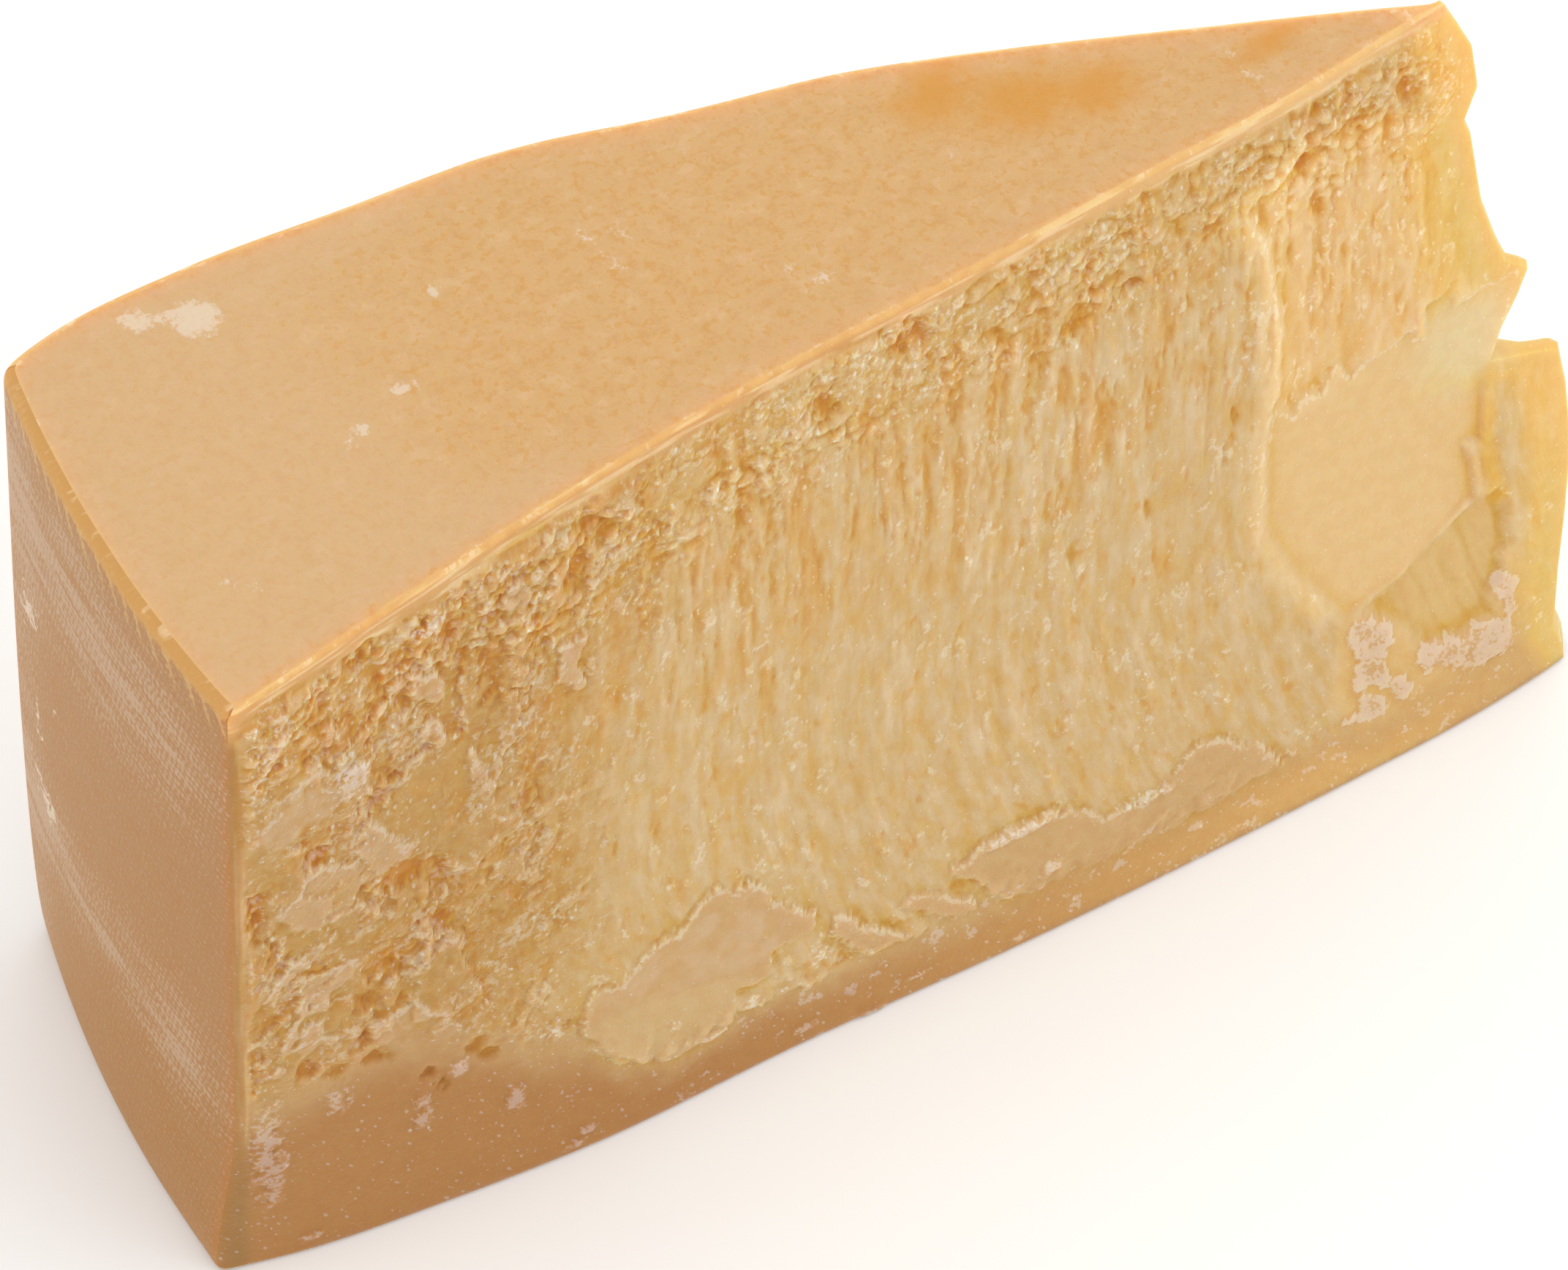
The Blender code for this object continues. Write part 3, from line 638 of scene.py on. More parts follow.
# ---------------------------------------------------------------- relief and what each place is
def fibre_lines(x, z):
    """How far to the tip side a place lies, counted along the bowed fibres."""
    return x - smooth_through(FIBRE_BOW, z)


def crags_and_belt(x, z, crag_wander, belt_wander):
    """Shares of the crags by the rim and of the crumbly belt under the top, with wandering borders."""
    leaning_x = x - CRAGS_LEAN * (z - WHEEL_HEIGHT_MM / 2)
    crag = fade(CRAGS_FULL_TO_MM, CRAGS_GONE_FROM_MM, leaning_x + crag_wander)
    return crag, ramp(BELT_START_MM, BELT_FULL_MM, z + belt_wander)


def coarse_relief(x, z, salt, rough):
    """The solid's own relief: crags towards the rim, grains under the top, furrows elsewhere."""
    crags = facets(x, CRUMB_STRETCH * z, CRAG_SIZE_MM, salt) * CRAG_DEPTH_MM
    grains = facets(x, CRUMB_STRETCH * z, GRAIN_SIZE_MM, salt + 5) * GRAIN_DEPTH_MM
    furrows = facets(x + FURROW_LEAN * z, FURROW_STRETCH * z, FURROW_SIZE_MM, salt + 10) * FURROW_DEPTH_MM
    return rough * (0.28 * crags + 0.2 * grains) + (1 - rough) * (0.45 * furrows + 0.2 * grains)


def torn_layer(x, z, size, salt, bias=0.0):
    """A layer of paste with ragged torn borders: about how many mm a place is inside it."""
    bend_x = 0.3 * size * ragged(x / (0.5 * size), z / (0.5 * size), salt + 40, 3, 0.65)
    bend_z = 0.3 * size * ragged(x / (0.5 * size), z / (0.5 * size), salt + 50, 3, 0.65)
    layer = ragged((x + bend_x) / size, CRUMB_STRETCH * (z + bend_z) / size, salt, 4, 0.55) + bias
    return 0.4 * size * layer


def torn_lip(inside, width):
    """The pale torn border just inside a flake, fading into the flake; it is made strongest where it faces
    up, a painted highlight.
    """
    up, along = np.gradient(inside)
    looks_up = -up / (np.hypot(up, along) + 1e-6)
    border = ramp(-0.4, 0.1, inside) * fade(0.1 * width, width, inside)
    # facing up strengthens the lip: painted highlight
    return border * (0.25 + 0.75 * ramp(-0.4, 0.6, looks_up))


def torn_flakes(x, z, salt, crag, belt, rough, patchy):
    """Plates and flakes among the crags: their relief, how broken each place is, the painted shade in its
    pits and at the feet of its torn edges, and its torn lips with their painted highlight.
    """
    plate = torn_layer(x, z, PLATE_SIZE_MM, salt + 150)
    relief = PLATE_STEP_MM * ramp(-0.25, 0.25, plate) * crag
    # painted shade in the plates' pits and just below their torn edges
    pit = 0.7 * ramp(-4.0, -0.3, plate) * fade(-0.3, 0.1, plate) * crag
    lip = torn_lip(plate, 2.0) * crag * (0.3 + 0.7 * patchy)
    broken = rough * (1 - 0.55 * ramp(0.6, 3.5, plate) * (1 - belt))
    for size, rise, bias, width in TORN_LAYERS:
        inside = torn_layer(x, z, size, salt + int(10 * size), bias)
        relief = relief + rise * ramp(-0.25, 0.25, inside) * broken
        # painted shade at the foot of each layer's torn edge
        foot = ramp(-0.3 * size, -0.3, inside) * fade(-0.3, 0.1, inside)
        pit = np.maximum(pit, 0.5 * foot * broken)
        lip = np.maximum(lip, torn_lip(inside, width) * broken * patchy)
    return relief, broken, pit, lip


def belt_crumbs(x, z, salt, belt, crag_share):
    """Round crumbs under the top: their relief, how high a place stands on one (for the painted highlight on
    their tops and painted shade between them), and how thick they lie.
    """
    bent_x = x + 1.1 * ragged(x / 2.6, z / 2.6, salt + 61, 3)
    height, own = crumbs(bent_x / CRUMB_SIZE_MM[0], z / CRUMB_SIZE_MM[1], salt + 3)
    share = belt * ramp(-0.6, 0.3, ragged(x / 14, z / 10, salt + 4, 2)) + 0.3 * crag_share
    relief = share * (CRUMB_RISE_MM * np.sqrt(height) * (0.5 + own) - 0.4)
    return relief, height * (0.4 + 0.6 * own), share


def flaky_scales(x, z, salt, calm, high, patchy):
    """Thin scales and scattered flecks on the smoother paste: their relief, and their torn lips with painted
    highlight where they face up.
    """
    flow = fibre_lines(x, z)
    scale = torn_layer(flow, 0.45 * z, SCALE_SIZE_MM, salt + 200, -0.05)
    scaly = calm * ramp(-0.4, 0.5, ragged(x / 16, z / 16, salt + 210, 3) + 0.5 * high)
    bent_x = flow + 0.5 * ragged(x / 2, z / 2, salt + 221, 2)
    height, own = crumbs(bent_x / FLECK_SPACING_MM[0], z / FLECK_SPACING_MM[1], salt + 220)
    worn = 0.25 * ragged(x / 1.1, z / 1.1, salt + 230, 2)
    fleck = ramp(0.72, 0.92, height + worn) * (own > FLECKS_FROM)
    relief = SCALE_RISE_MM * ramp(-0.3, 0.3, scale) * scaly + FLECK_RISE_MM * fleck
    return relief, np.maximum(torn_lip(scale, 0.8) * scaly * patchy, 0.7 * fleck)


def drawn_paste(x, z, salt, crag, belt, calm):
    """Paste that split along its fibres: relief of its holes, dents and ridges, and what its places are."""
    flow = fibre_lines(x, z)
    high = ramp(*DRAWN_HOLES_FROM_MM, z) * (1 - 0.6 * crag)
    hole = ragged(flow / 3.0, z / 13.0, salt + 31, 4, 0.6)
    drawn_hole = high * ramp(-0.2, 0.9, hole)
    dent = ramp(0.45, 1.1, ragged(flow / 2.2, z / 4.0, salt + 36, 3, 0.6) + 0.15 * high)
    dent = dent * (0.5 + 0.5 * calm)
    ridges = ragged(flow / 4.0, z / 24.0, salt + 70, 4, 0.6)
    threads = ragged(flow / 1.5, z / 7.0, salt + 80, 3)
    crest = np.clip(0.75 * ridges + 0.3 * threads, -1, 1)
    relief = calm * 0.3 * ramp(-0.8, 0.8, ridges) + 0.06 * threads - 0.5 * drawn_hole - 0.2 * dent
    chips = 0.3 + 0.5 * crag + 0.8 * belt + 0.3 * high + 0.3 * calm * ridges
    # crest and trough: painted highlight on the fibre ridges and painted shade between them; drawn_hole:
    # painted shade in holes and dents
    places = {
        "crest": calm * ramp(0.1, 0.8, crest), "trough": calm * ramp(0.1, 0.9, -crest),
        "drawn_hole": np.clip(drawn_hole + 0.8 * dent, 0, 1), "brow": high * ramp(0.1, 0.6, -hole),
        "chips": np.clip(chips, 0, 1), "waxy": calm, "crag": crag, "belt": belt,
    }
    return relief, high, places


def broken_surface(x, z, salt, crag, belt, open_face):
    """Relief of split paste in mm, and what each of its places is."""
    rough = np.clip(crag + BELT_STRENGTH * belt, 0.0, 1.0)
    patchy = ramp(-0.6, 0.3, ragged(x / 6, z / 6, salt + 8, 3))
    flakes, broken, pit, flake_lip = torn_flakes(x, z, salt, crag, belt, rough, patchy)
    crumbling, crumb, crumbly = belt_crumbs(x, z, salt, belt, crag * broken)
    drawn, high, places = drawn_paste(x, z, salt, crag, belt, 1 - rough)
    scales, scale_lip = flaky_scales(x, z, salt, 1 - rough, high, patchy)
    grit = (0.05 + 0.13 * broken) * ragged(x / 2.2, z / 2.2, salt + 90, 4, 0.65)
    proud = coarse_relief(x, z, salt, rough) + flakes + crumbling + drawn + scales + grit
    lip = np.maximum(flake_lip, scale_lip)
    places.update(pit=pit, lip=lip, crumb=crumb, crumbly=crumbly, rough=broken)
    return proud * open_face, {name: share * open_face for name, share in places.items()}


def named_pits(at):
    """The deep pits of the front face."""
    ovals = (in_oval(at.x, at.z, x, z, 1.7 * half_x, 1.5 * half_z) for x, z, half_x, half_z in PITS)
    return highest(ramp(-0.2, 0.9, oval + 0.55 * at.uneven) for oval in ovals)


def deepest(areas, at):
    """How many mm a place is inside the nearest of some areas."""
    return highest((depth_inside(area, at.x, at.z) for area in areas), -99.0)


def chalky(at):
    """Where pale crumbs of rind lie, 0 to 1."""
    ovals = (in_oval(at.x, at.z, x, z, 1.7 * half_x, 1.6 * half_z) for x, z, half_x, half_z in CRUMB_PATCHES)
    return np.clip(highest(ovals) * (1 + 0.8 * at.uneven), 0, 1)


def face_borders(x, z, rim_end, tip_end, uneven):
    """How far a broken face is clear of the rind by the rim, of the rind on top and of the tip, 0 to 1."""
    from_rim = ramp(-0.8, 0.8, x - rim_end - RIND_STRIP_MM + 0.5 * uneven)
    strip = straight_through(TOP_STRIP_MM, x)
    from_top = ramp(-0.3, 1.6, WHEEL_HEIGHT_MM - z - strip + 0.8 * uneven)
    return from_rim, from_top, ramp(0.0, TIP_CALM_MM, tip_end - x)


def slab_shares(at):
    """Beside the tip: the hollow, the smooth slab under it and the undercut below the slab."""
    x, z = at.x, at.z
    at.slab_depth = depth_inside(SLAB_AREA, x, z) + 0.7 * at.uneven * ramp(60, 85, z)
    at.slab = ramp(-0.8 - 1.8 * fade(-32, -20, x), 0.8, at.slab_depth)
    undercut_depth = depth_inside(UNDERCUT_AREA, x, z) + 0.6 * at.uneven
    at.undercut = ramp(-2.4, 2.4, undercut_depth) * (1 - at.slab)
    at.fibres = ragged(fibre_lines(x, z) / 2.2, z / 12, 540, 3)
    at.hollow_depth = depth_inside(HOLLOW_AREA, x, z) + 0.5 * at.uneven
    at.hollow = ramp(-1.4, 2.2, at.hollow_depth) * (1 - at.slab)
    at.calm = np.clip(at.slab + at.undercut, 0, 1)


def corner_shares(at):
    """Under the slab: the smooth ledge, the torn patches on it, and the groove beside the slab."""
    at.ledge = ramp(-3.0, 2.0, depth_inside(LEDGE, at.x, at.z) + at.slow)
    frayed = 0.9 * at.uneven + 0.6 * ragged(at.x / 1.2, at.z / 1.2, 551, 2)
    at.patch_depth = deepest(LEDGE_PATCHES, at) + frayed
    at.patch = ramp(-0.4, 0.4, at.patch_depth)
    runs = (by_line(at.x, at.z, start, end) for start, end in zip(GROOVE[:-1], GROOVE[1:]))
    at.groove = highest(fade(0.5, 3.4, away) for away in runs) * (1 - at.slab)


def plate_shares(at):
    """The flakes among the crags, the plates above the band, and the band's own ragged upper edge."""
    at.flake_depth = deepest(FLAKES, at) + 1.1 * at.uneven
    at.flake = ramp(-0.4, 0.4, at.flake_depth) * at.open_face
    at.plate_depth = deepest(LOWER_PLATES, at) + 1.1 * at.uneven
    at.plate = ramp(-0.4, 0.4, at.plate_depth) * ramp(-3.0, 3.0, at.above_band + 2 + 2 * at.slow)
    ragged_edge = at.by_middle * ramp(-0.2, 0.5, at.slow + 0.4 * at.uneven)
    at.band_edge = ragged_edge * fade(-40, -25, at.x)


def front_relief(at, proud):
    """The broken relief with the front face's own forms laid into it, in mm."""
    proud = proud * (1 - 0.4 * at.flake) + FLAKE_RISE_MM * at.flake
    hollow_drop = at.hollow * fade(HOLLOW_FULL_TO_MM, HOLLOW_GONE_FROM_MM, at.x)
    sunk = HOLLOW_DEPTH_MM * hollow_drop + SLAB_DEPTH_MM * at.slab + UNDERCUT_DEPTH_MM * at.undercut
    proud = proud * (1 - 0.97 * at.calm) - sunk * at.from_tip + 0.35 * at.undercut * at.fibres
    proud = proud * (1 - 0.85 * at.ledge * (1 - at.undercut))
    proud = proud + PATCH_RISE_MM * at.patch * (1 + 0.3 * at.uneven) - GROOVE_DEPTH_MM * at.groove
    proud = proud * (1 - 0.8 * at.plate) + PLATE_RISE_MM * at.plate
    band_step = ramp(-0.4, 0.5, at.above_band) * fade(2, 14, at.above_band)
    proud = proud + BAND_STEP_MM * at.band_edge * band_step
    proud = proud * (1 - 0.7 * at.thin * fade(0, 6, -at.x))
    return proud - PIT_DEPTH_MM * at.deep + CHALK_RISE_MM * ramp(0.2, 0.6, at.chalk)


def front_lips(at, lip):
    """The torn lips of the front face's own forms laid over the finer ones, with painted highlight where they
    face up.
    """
    slab_side = (at.x < -30) * ramp(84, 92, at.z) * fade(124, 132, at.z)
    lips = (
        (at.flake_depth, 2.4, at.flake), (at.plate_depth, 2.0, at.plate * (0.75 + 0.25 * at.mottled)),
        (0.9 * at.above_band, 1.4, at.band_edge), (-0.4 - at.hollow_depth, 1.2, slab_side),
        (at.slab_depth, 1.2, ramp(76, 84, at.z)),
    )
    return highest((torn_lip(inside, width) * share for inside, width, share in lips), lip)


def front_chalk(at):
    """How thick chalky crumbs lie: in the named patches, on the ledge and strewn along the band."""
    on_patch = np.clip(0.6 + 0.4 * fade(0.0, 2.0, at.patch_depth) + 0.5 * at.uneven, 0, 1)
    strewn = np.clip(ragged(at.x / 3.0, at.z / 2.6, 571, 4, 0.6) - 0.25, 0, 0.5) * ramp(-225, -130, at.x)
    on_band = 1.6 * strewn * fade(0, 4, at.above_band)
    return np.maximum(np.maximum(0.9 * at.chalk, at.patch * on_patch), on_band)


def front_zones(at, places):
    """What the places of the front face's own forms are."""
    x, z = at.x, at.z
    smooth_spots = np.clip(0.5 * at.flake + at.calm + 0.9 * at.plate + 0.8 * at.ledge, 0, 1)
    for name in BROKEN_ONLY:
        places[name] = places[name] * (1 - smooth_spots)
    ridge = ramp(-7.0, -1.5, at.hollow_depth) * (x < -30) * ramp(84, 92, z)
    by_slab = ramp(-9.0, -1.0, at.slab_depth) * (x < -24) * ramp(33, 44, z) * (1 - at.slab)
    ridge = np.maximum(ridge, 0.85 * by_slab)
    for name in ("trough", "drawn_hole", "brow", "waxy"):
        places[name] = places[name] * (1 - 0.7 * ridge)
    fibres = at.undercut * ramp(-0.1, 0.7, at.fibres)
    bright_part = deepest((PLATE_BRIGHT_PART,), at) + 0.8 * at.uneven
    plate = ramp(-0.5, 1.0, bright_part) + 0.55 * (x > -135) + 0.35
    band = (1 - at.by_middle) * fade(-12, 12, at.above_band)
    band = band + at.by_middle * fade(-9.0, 3.5, at.above_band + 1.5 * at.slow)
    places.update(
        pit=np.maximum(places["pit"], at.deep_colour), lip=front_lips(at, places["lip"]),
        chalk=front_chalk(at), drawn_hole=np.maximum(places["drawn_hole"], fibres),
        ridge=ridge, slab=at.slab, flake=at.flake,
        recess=at.undercut * (1 - 0.5 * fibres), bay=at.hollow * (z > 78), groove=at.groove, patch=at.patch,
        ledge=at.ledge * (1 - at.undercut) * (1 - at.slab), plate=at.plate * np.clip(plate, 0, 1),
        haze=at.plate * at.mottled * ramp(-1.5, 4.0, bright_part),
        band=band * (1 - 0.45 * ramp(-25, 12, x)),
        base_line=fade(0.6, 1.6, z + 0.3 * at.uneven) * ramp(-236, -226, x))
    return places


def front_surface(x, z, rim_end, tip_end):
    """Relief of the front face in mm, and what each of its places is."""
    # What is known at each of the face's points, which the functions above read and add to
    at = SimpleNamespace(x=x, z=z)
    at.uneven = ragged(x / 2.4, z / 2.4, 501, 4, 0.65)
    at.slow = ragged(x / 11, z / 11, 511, 3)
    at.mottled = ramp(-0.5, 0.4, ragged(x / 4, z / 4, 531, 3))
    at.thin = thin_paste(x, z, tip_end)
    crag, belt = crags_and_belt(x, z, 8 * at.slow, 6 * at.slow)
    at.above_band = z - straight_through(BAND_TOP, x) + 1.5 * at.uneven
    at.by_middle = ramp(-190, -170, x)
    sharp_band, soft_band = ramp(-0.4, 0.4, at.above_band), ramp(-4, 9, at.above_band)
    from_rim, from_top, at.from_tip = face_borders(x, z, rim_end, tip_end, at.uneven)
    at.open_face = at.by_middle * sharp_band + (1 - at.by_middle) * soft_band
    at.open_face = at.open_face * from_rim * from_top * (0.25 + 0.75 * at.from_tip)
    proud, places = broken_surface(x, z, FRONT_SEED, crag, belt, at.open_face)
    slab_shares(at)
    corner_shares(at)
    plate_shares(at)
    deep = named_pits(at) * (1 - at.flake) * (1 - at.calm) * (1 - at.plate)
    at.deep = deep * (0.45 + 0.55 * np.clip(crag + belt, 0, 1))
    # how strongly the named pits get their painted shade
    at.deep_colour = deep * (0.55 + 0.45 * np.clip(crag + belt, 0, 1))
    at.chalk = chalky(at)
    places["strip"] = 1 - np.minimum(from_rim, from_top)
    return front_relief(at, proud), front_zones(at, places)


def back_surface(x, z, rim_end, tip_end):
    """Relief of the back face, split as the front is, and what each of its places is."""
    uneven = ragged(x / 2.6, z / 2.6, 601, 3, 0.6)
    slow = ragged(x / 13, z / 13, 611, 3)
    crag, belt = crags_and_belt(x, z, 10 * slow, 8 * slow)
    above_band = z - BACK_BAND_MM - 2.5 * ragged(x / 30, 0 * z, 620, 2) + 1.5 * uneven
    from_rim, from_top, from_tip = face_borders(x, z, rim_end, tip_end, uneven)
    open_face = ramp(-0.4, 0.6, above_band) * from_rim * from_top * from_tip
    proud, places = broken_surface(x, z, BACK_SEED, crag, belt, open_face)
    for name in FRONT_ONLY:
        places[name] = np.zeros(x.shape)
    places["lip"] = np.maximum(places["lip"], torn_lip(0.9 * above_band, 1.8) * from_tip)
    places["chalk"] = np.clip(ragged(x / 5, z / 5, 640, 3) - 0.1, 0, 1) * fade(12, 30, z)
    places["band"] = fade(-0.8, 0.6, above_band)
    places["strip"] = 1 - np.minimum(from_rim, from_top)
    places["base_line"] = fade(0.6, 1.6, z + 0.3 * uneven)
    return proud, places


def thin_paste(x, z, tip_end):
    """1 where the paste by the tip is thin enough for the painted glow, 0 where it is thick."""
    return fade(0.15, 1.0, (tip_end - x) / straight_through(GLOW_REACH_MM, z))


# ---------------------------------------------------------------- the rim and the top
def rim_marks(y, z):
    """Where the rim is marked with white."""
    uneven = ragged(y / 2.0, z / 2.0, 801, 3)
    return highest(0.7 * ramp(0.2, 1.0, in_oval(y, z, *mark) + 0.9 * uneven) for mark in RIM_MARKS)


def rim_cloth(y, z):
    """How strongly the cheesecloth has left its dusty imprint: in wide belts round the rim."""
    bent = z + 3 * ragged(y / 30, z / 30, 811, 2)
    belts = highest(ramp(0.0, 1.0, 1 - np.abs(bent - height) / half) for height, half in CLOTH_BELTS)
    patchy = 0.5 + 0.5 * ragged(y / 12, z / 1.8, 821, 3)
    back_side = 0.5 * ramp(18, 34, y)
    front_side = 1 - 0.6 * ramp(22, 36, -y)
    return np.clip(belts * (0.1 + 0.9 * patchy) * front_side + back_side * (0.4 + 0.6 * patchy), 0, 1)


def rim_gold(y, z):
    """Where the rind shows golden under the top edge: a thin line with ticks that hang down from it."""
    below = WHEEL_HEIGHT_MM - z
    folds = np.sin(2 * math.pi * (y - 0.5 * z) / CLOTH_FOLD_MM + 2 * ragged(y / 9, z / 30, 831, 2))
    ticks = ramp(0.2, 0.9, folds) * ramp(1.0, 2.5, below) * fade(4.0, 11.0, below)
    return np.clip(fade(0.8, 3.0, below) + 0.8 * ticks, 0, 1)


def top_places(x, y, from_edge):
    """What each place on the top rind is."""
    uneven = ragged(x / 2.5, y / 2.5, 701, 3)
    dust = highest(ramp(0.0, 0.6, in_oval(x, y, *mark) + 0.3 * uneven) for mark in TOP_DUST)
    dust = highest((0.5 * fade(0.2, 1.4, by_line(x, y, *ends)) for ends in TOP_SCRATCHES), dust)
    blotch = highest(ramp(-0.3, 0.8, in_oval(x, y, *mark) + 0.25 * uneven) for mark in TOP_BLOTCHES)
    floury = ramp(150, 235, -x + 8 * ragged(x / 20, y / 20, 711, 2))
    floury = np.clip(floury + 0.5 * fade(0, 14, from_edge), 0, 1)
    return {"dust": dust, "marking": blotch, "edge_gap": from_edge, "waxy": floury}


def uneven_top(points):
    """The points with the top rind's slight dips, which die away below it."""
    dip = TOP_UNEVENNESS_MM * (0.5 + 0.5 * ragged(points[:, 0] / 28, points[:, 1] / 20, 720, 3))
    points[:, 2] -= np.clip(dip, 0, 2 * TOP_UNEVENNESS_MM) * ramp(125, WHEEL_HEIGHT_MM, points[:, 2])
    return points


# ---------------------------------------------------------------- the skin
def rounded_corners(ring, corners):
    """The outlines with their sharp corners worn a little."""
    count = ring.shape[1]
    for corner in corners:
        near = [(corner + k) % count for k in range(-CORNER_REACH, CORNER_REACH + 1)]
        for _ in range(CORNER_PASSES):
            before = ring[:, [(k - 1) % count for k in near]]
            after = ring[:, [(k + 1) % count for k in near]]
            ring[:, near] = (before + 2 * ring[:, near] + after) / 4
    return ring


def face_outline(surface, face_y, outward, x, z, corner, tip):
    """One broken face at every height, and what each of its points is."""
    height = np.repeat(z[:, None], x.shape[1], axis=1)
    proud, places = surface(x, height, corner[:, None], tip[:, None])
    # how far each place lies below its neighbours, near and wide: painted shade in hollows, painted highlight
    # where raised
    places["cavity"] = blurred(proud, NEAR_PASSES) - proud
    places["sunk"] = ramp(-0.2, 1.4, blurred(proud, WIDE_PASSES) - proud)
    # where the material paints the glow of light through the thin paste by the tip
    places["thin"] = thin_paste(x, height, tip[:, None])
    places["tipward"] = ramp(-175, 10, x)
    y = face_y(x, height) + outward * (proud - edge_rounding(x, height))
    return np.stack([x, y, height], axis=-1), places


def rind_places(ring, places):
    """What the side's points are where the rind is near: at the rim, in its cut strips and at the notch."""
    x, y, z = ring[..., 0], ring[..., 1], ring[..., 2]
    on_rim = np.zeros(x.shape)
    on_rim[:, -RIM_POINTS:] = 1.0
    lines = ragged(x / 9, z / 0.55, 851, 2)
    grooves = ragged(x / 0.6, z / 14, 861, 2)
    by_top = ramp(141, 146, z)
    strip = places["strip"] * ramp(20, 50, z)
    places.update(
        edge_gap=WHEEL_HEIGHT_MM - z, strip=strip,
        dust=on_rim * rim_marks(y, z), marking=on_rim * rim_cloth(y, z),
        rind_line=fade(-244.5, -241.0, x) * fade(140, 147, z),
        waxy=places["waxy"] + on_rim * rim_gold(y, z),
        strip_line=strip * ramp(0.0, 0.6, by_top * lines + (1 - by_top) * grooves),
        tip_strip=strip * ramp(-140, -20, x), tip_band=places["band"] * places["tipward"],
        # paler painted glow where the paste is thinner still, and round the notch
        thinnest=ramp(0.7, 1.0, places["thin"]), chips=np.maximum(places["chips"], 0.8 * places["band"]),
        notch=np.clip(1.6 * in_oval(x, z, *NOTCH_GLOW), 0, 1) * (1 - on_rim))
    return places


def side_rings():
    """The side's outlines at every height, and what each point is."""
    z = levels()
    tip = straight_through(TIP_EDGE, z)
    tip_line = straight_through(TIP_LINE, z)
    front_corner, back_corner = rim_corner(front_y, z), rim_corner(back_y, z)
    x = stations(front_corner, tip_line, tip, FRONT_POINTS)
    front, front_places = face_outline(front_surface, front_y, -1, x, z, front_corner, tip)
    x = stations(back_corner, tip_line, tip, BACK_POINTS)[:, ::-1]
    back, back_places = face_outline(back_surface, back_y, 1, x, z, back_corner, tip)

    nose = (front[:, -1:] + back[:, :1]) / 2
    nose[..., 0] += NOSE_REACH * (back[:, :1, 1] - front[:, -1:, 1])
    across = np.linspace(0, 1, RIM_POINTS + 2)[1:-1]
    y = back[:, -1:, 1] + (front[:, :1, 1] - back[:, -1:, 1]) * across
    height = np.repeat(z[:, None], RIM_POINTS, axis=1)
    rim = np.stack([rim_x(y, height), y, height], axis=-1)

    ring = np.concatenate([front, nose, back, rim], axis=1)
    ring = rounded_corners(ring, (0, FRONT_POINTS + 1 + BACK_POINTS - 1))
    places = {}
    for name, share in front_places.items():
        parts = [share, share[:, -1:], back_places[name], np.zeros(height.shape)]
        places[name] = np.concatenate(parts, axis=1)
    return ring, rind_places(ring, places)


def fill(ring):
    """Points inside a flat outline, how far each is from it, and the triangles over both."""
    low, high = ring[:, :2].min(axis=0), ring[:, :2].max(axis=0)
    x, y = np.meshgrid(*(np.arange(a, b, FILL_SPACING_MM) for a, b in zip(low, high)))
    x[1::2] += FILL_SPACING_MM / 2
    depth = depth_inside(ring[::3, :2], x, y)
    inside = depth > FILL_SPACING_MM / 2
    inner = np.stack([x[inside], y[inside]], axis=1)
    points = [Vector(point) for point in np.vstack([ring[:, :2], inner])]
    border = [(k, (k + 1) % len(ring)) for k in range(len(ring))]
    _, _, triangles, source, _, _ = delaunay_2d_cdt(points, border, [], 1, 1e-7)
    triangles = np.array([[source[corner][0] for corner in triangle] for triangle in triangles])
    return inner, depth[inside], triangles


def capped(ring, places):
    """The side's points with the top's and the base's added, and both caps' triangles."""
    rows, count = ring.shape[:2]
    top_ring = np.arange((rows - 1) * count, rows * count)
    top_inner, top_depth, top_faces = fill(ring[-1])
    base_inner, _, base_faces = fill(ring[0])
    top_start = rows * count
    base_start = top_start + len(top_inner)
    on_top = np.column_stack([top_inner, np.full(len(top_inner), WHEEL_HEIGHT_MM)])
    on_base = np.column_stack([base_inner, np.zeros(len(base_inner))])
    on_ring = top_ring[np.minimum(top_faces, count - 1)]
    top_faces = np.where(top_faces < count, on_ring, top_faces - count + top_start)
    base_faces = np.where(base_faces < count, base_faces, base_faces - count + base_start)[:, ::-1]

    rind = top_places(*top_inner.T, top_depth)
    border = top_places(ring[-1, :, 0], ring[-1, :, 1], np.zeros(count))
    for name, share in places.items():
        on_cap = rind.get(name, np.zeros(len(top_inner)))
        under = np.full(len(base_inner), UNDER_GAP_MM if name == "edge_gap" else 0.0)
        places[name] = np.concatenate([share.reshape(-1), on_cap, under])
        if name in border and name != "waxy":
            places[name][top_ring] = border[name]
    return np.vstack([ring.reshape(-1, 3), on_top, on_base]), top_faces, base_faces


def chart_corners(faces, points, across, scale, shift):
    """Places of the faces' corners on the flat map that finishes are laid out on."""
    flat = np.stack([points[:, axis] * sign for axis, sign in across], axis=1)
    low = flat[np.unique(faces)].min(axis=0)
    return (flat[faces] - low) * scale + shift


def texture_places(name, number, corner):
    """Where the faces' corners lie on the flat patterns, in mm: along the fibres on the broken faces."""
    x, y, z = corner[..., 0], corner[..., 1], corner[..., 2]
    flat = {"front": (fibre_lines(x, z), z), "back": (fibre_lines(x, z), z), "rim": (y, z)}.get(name, (x, y))
    return np.stack([flat[0] + 500 * number, flat[1], 0 * x], axis=-1)


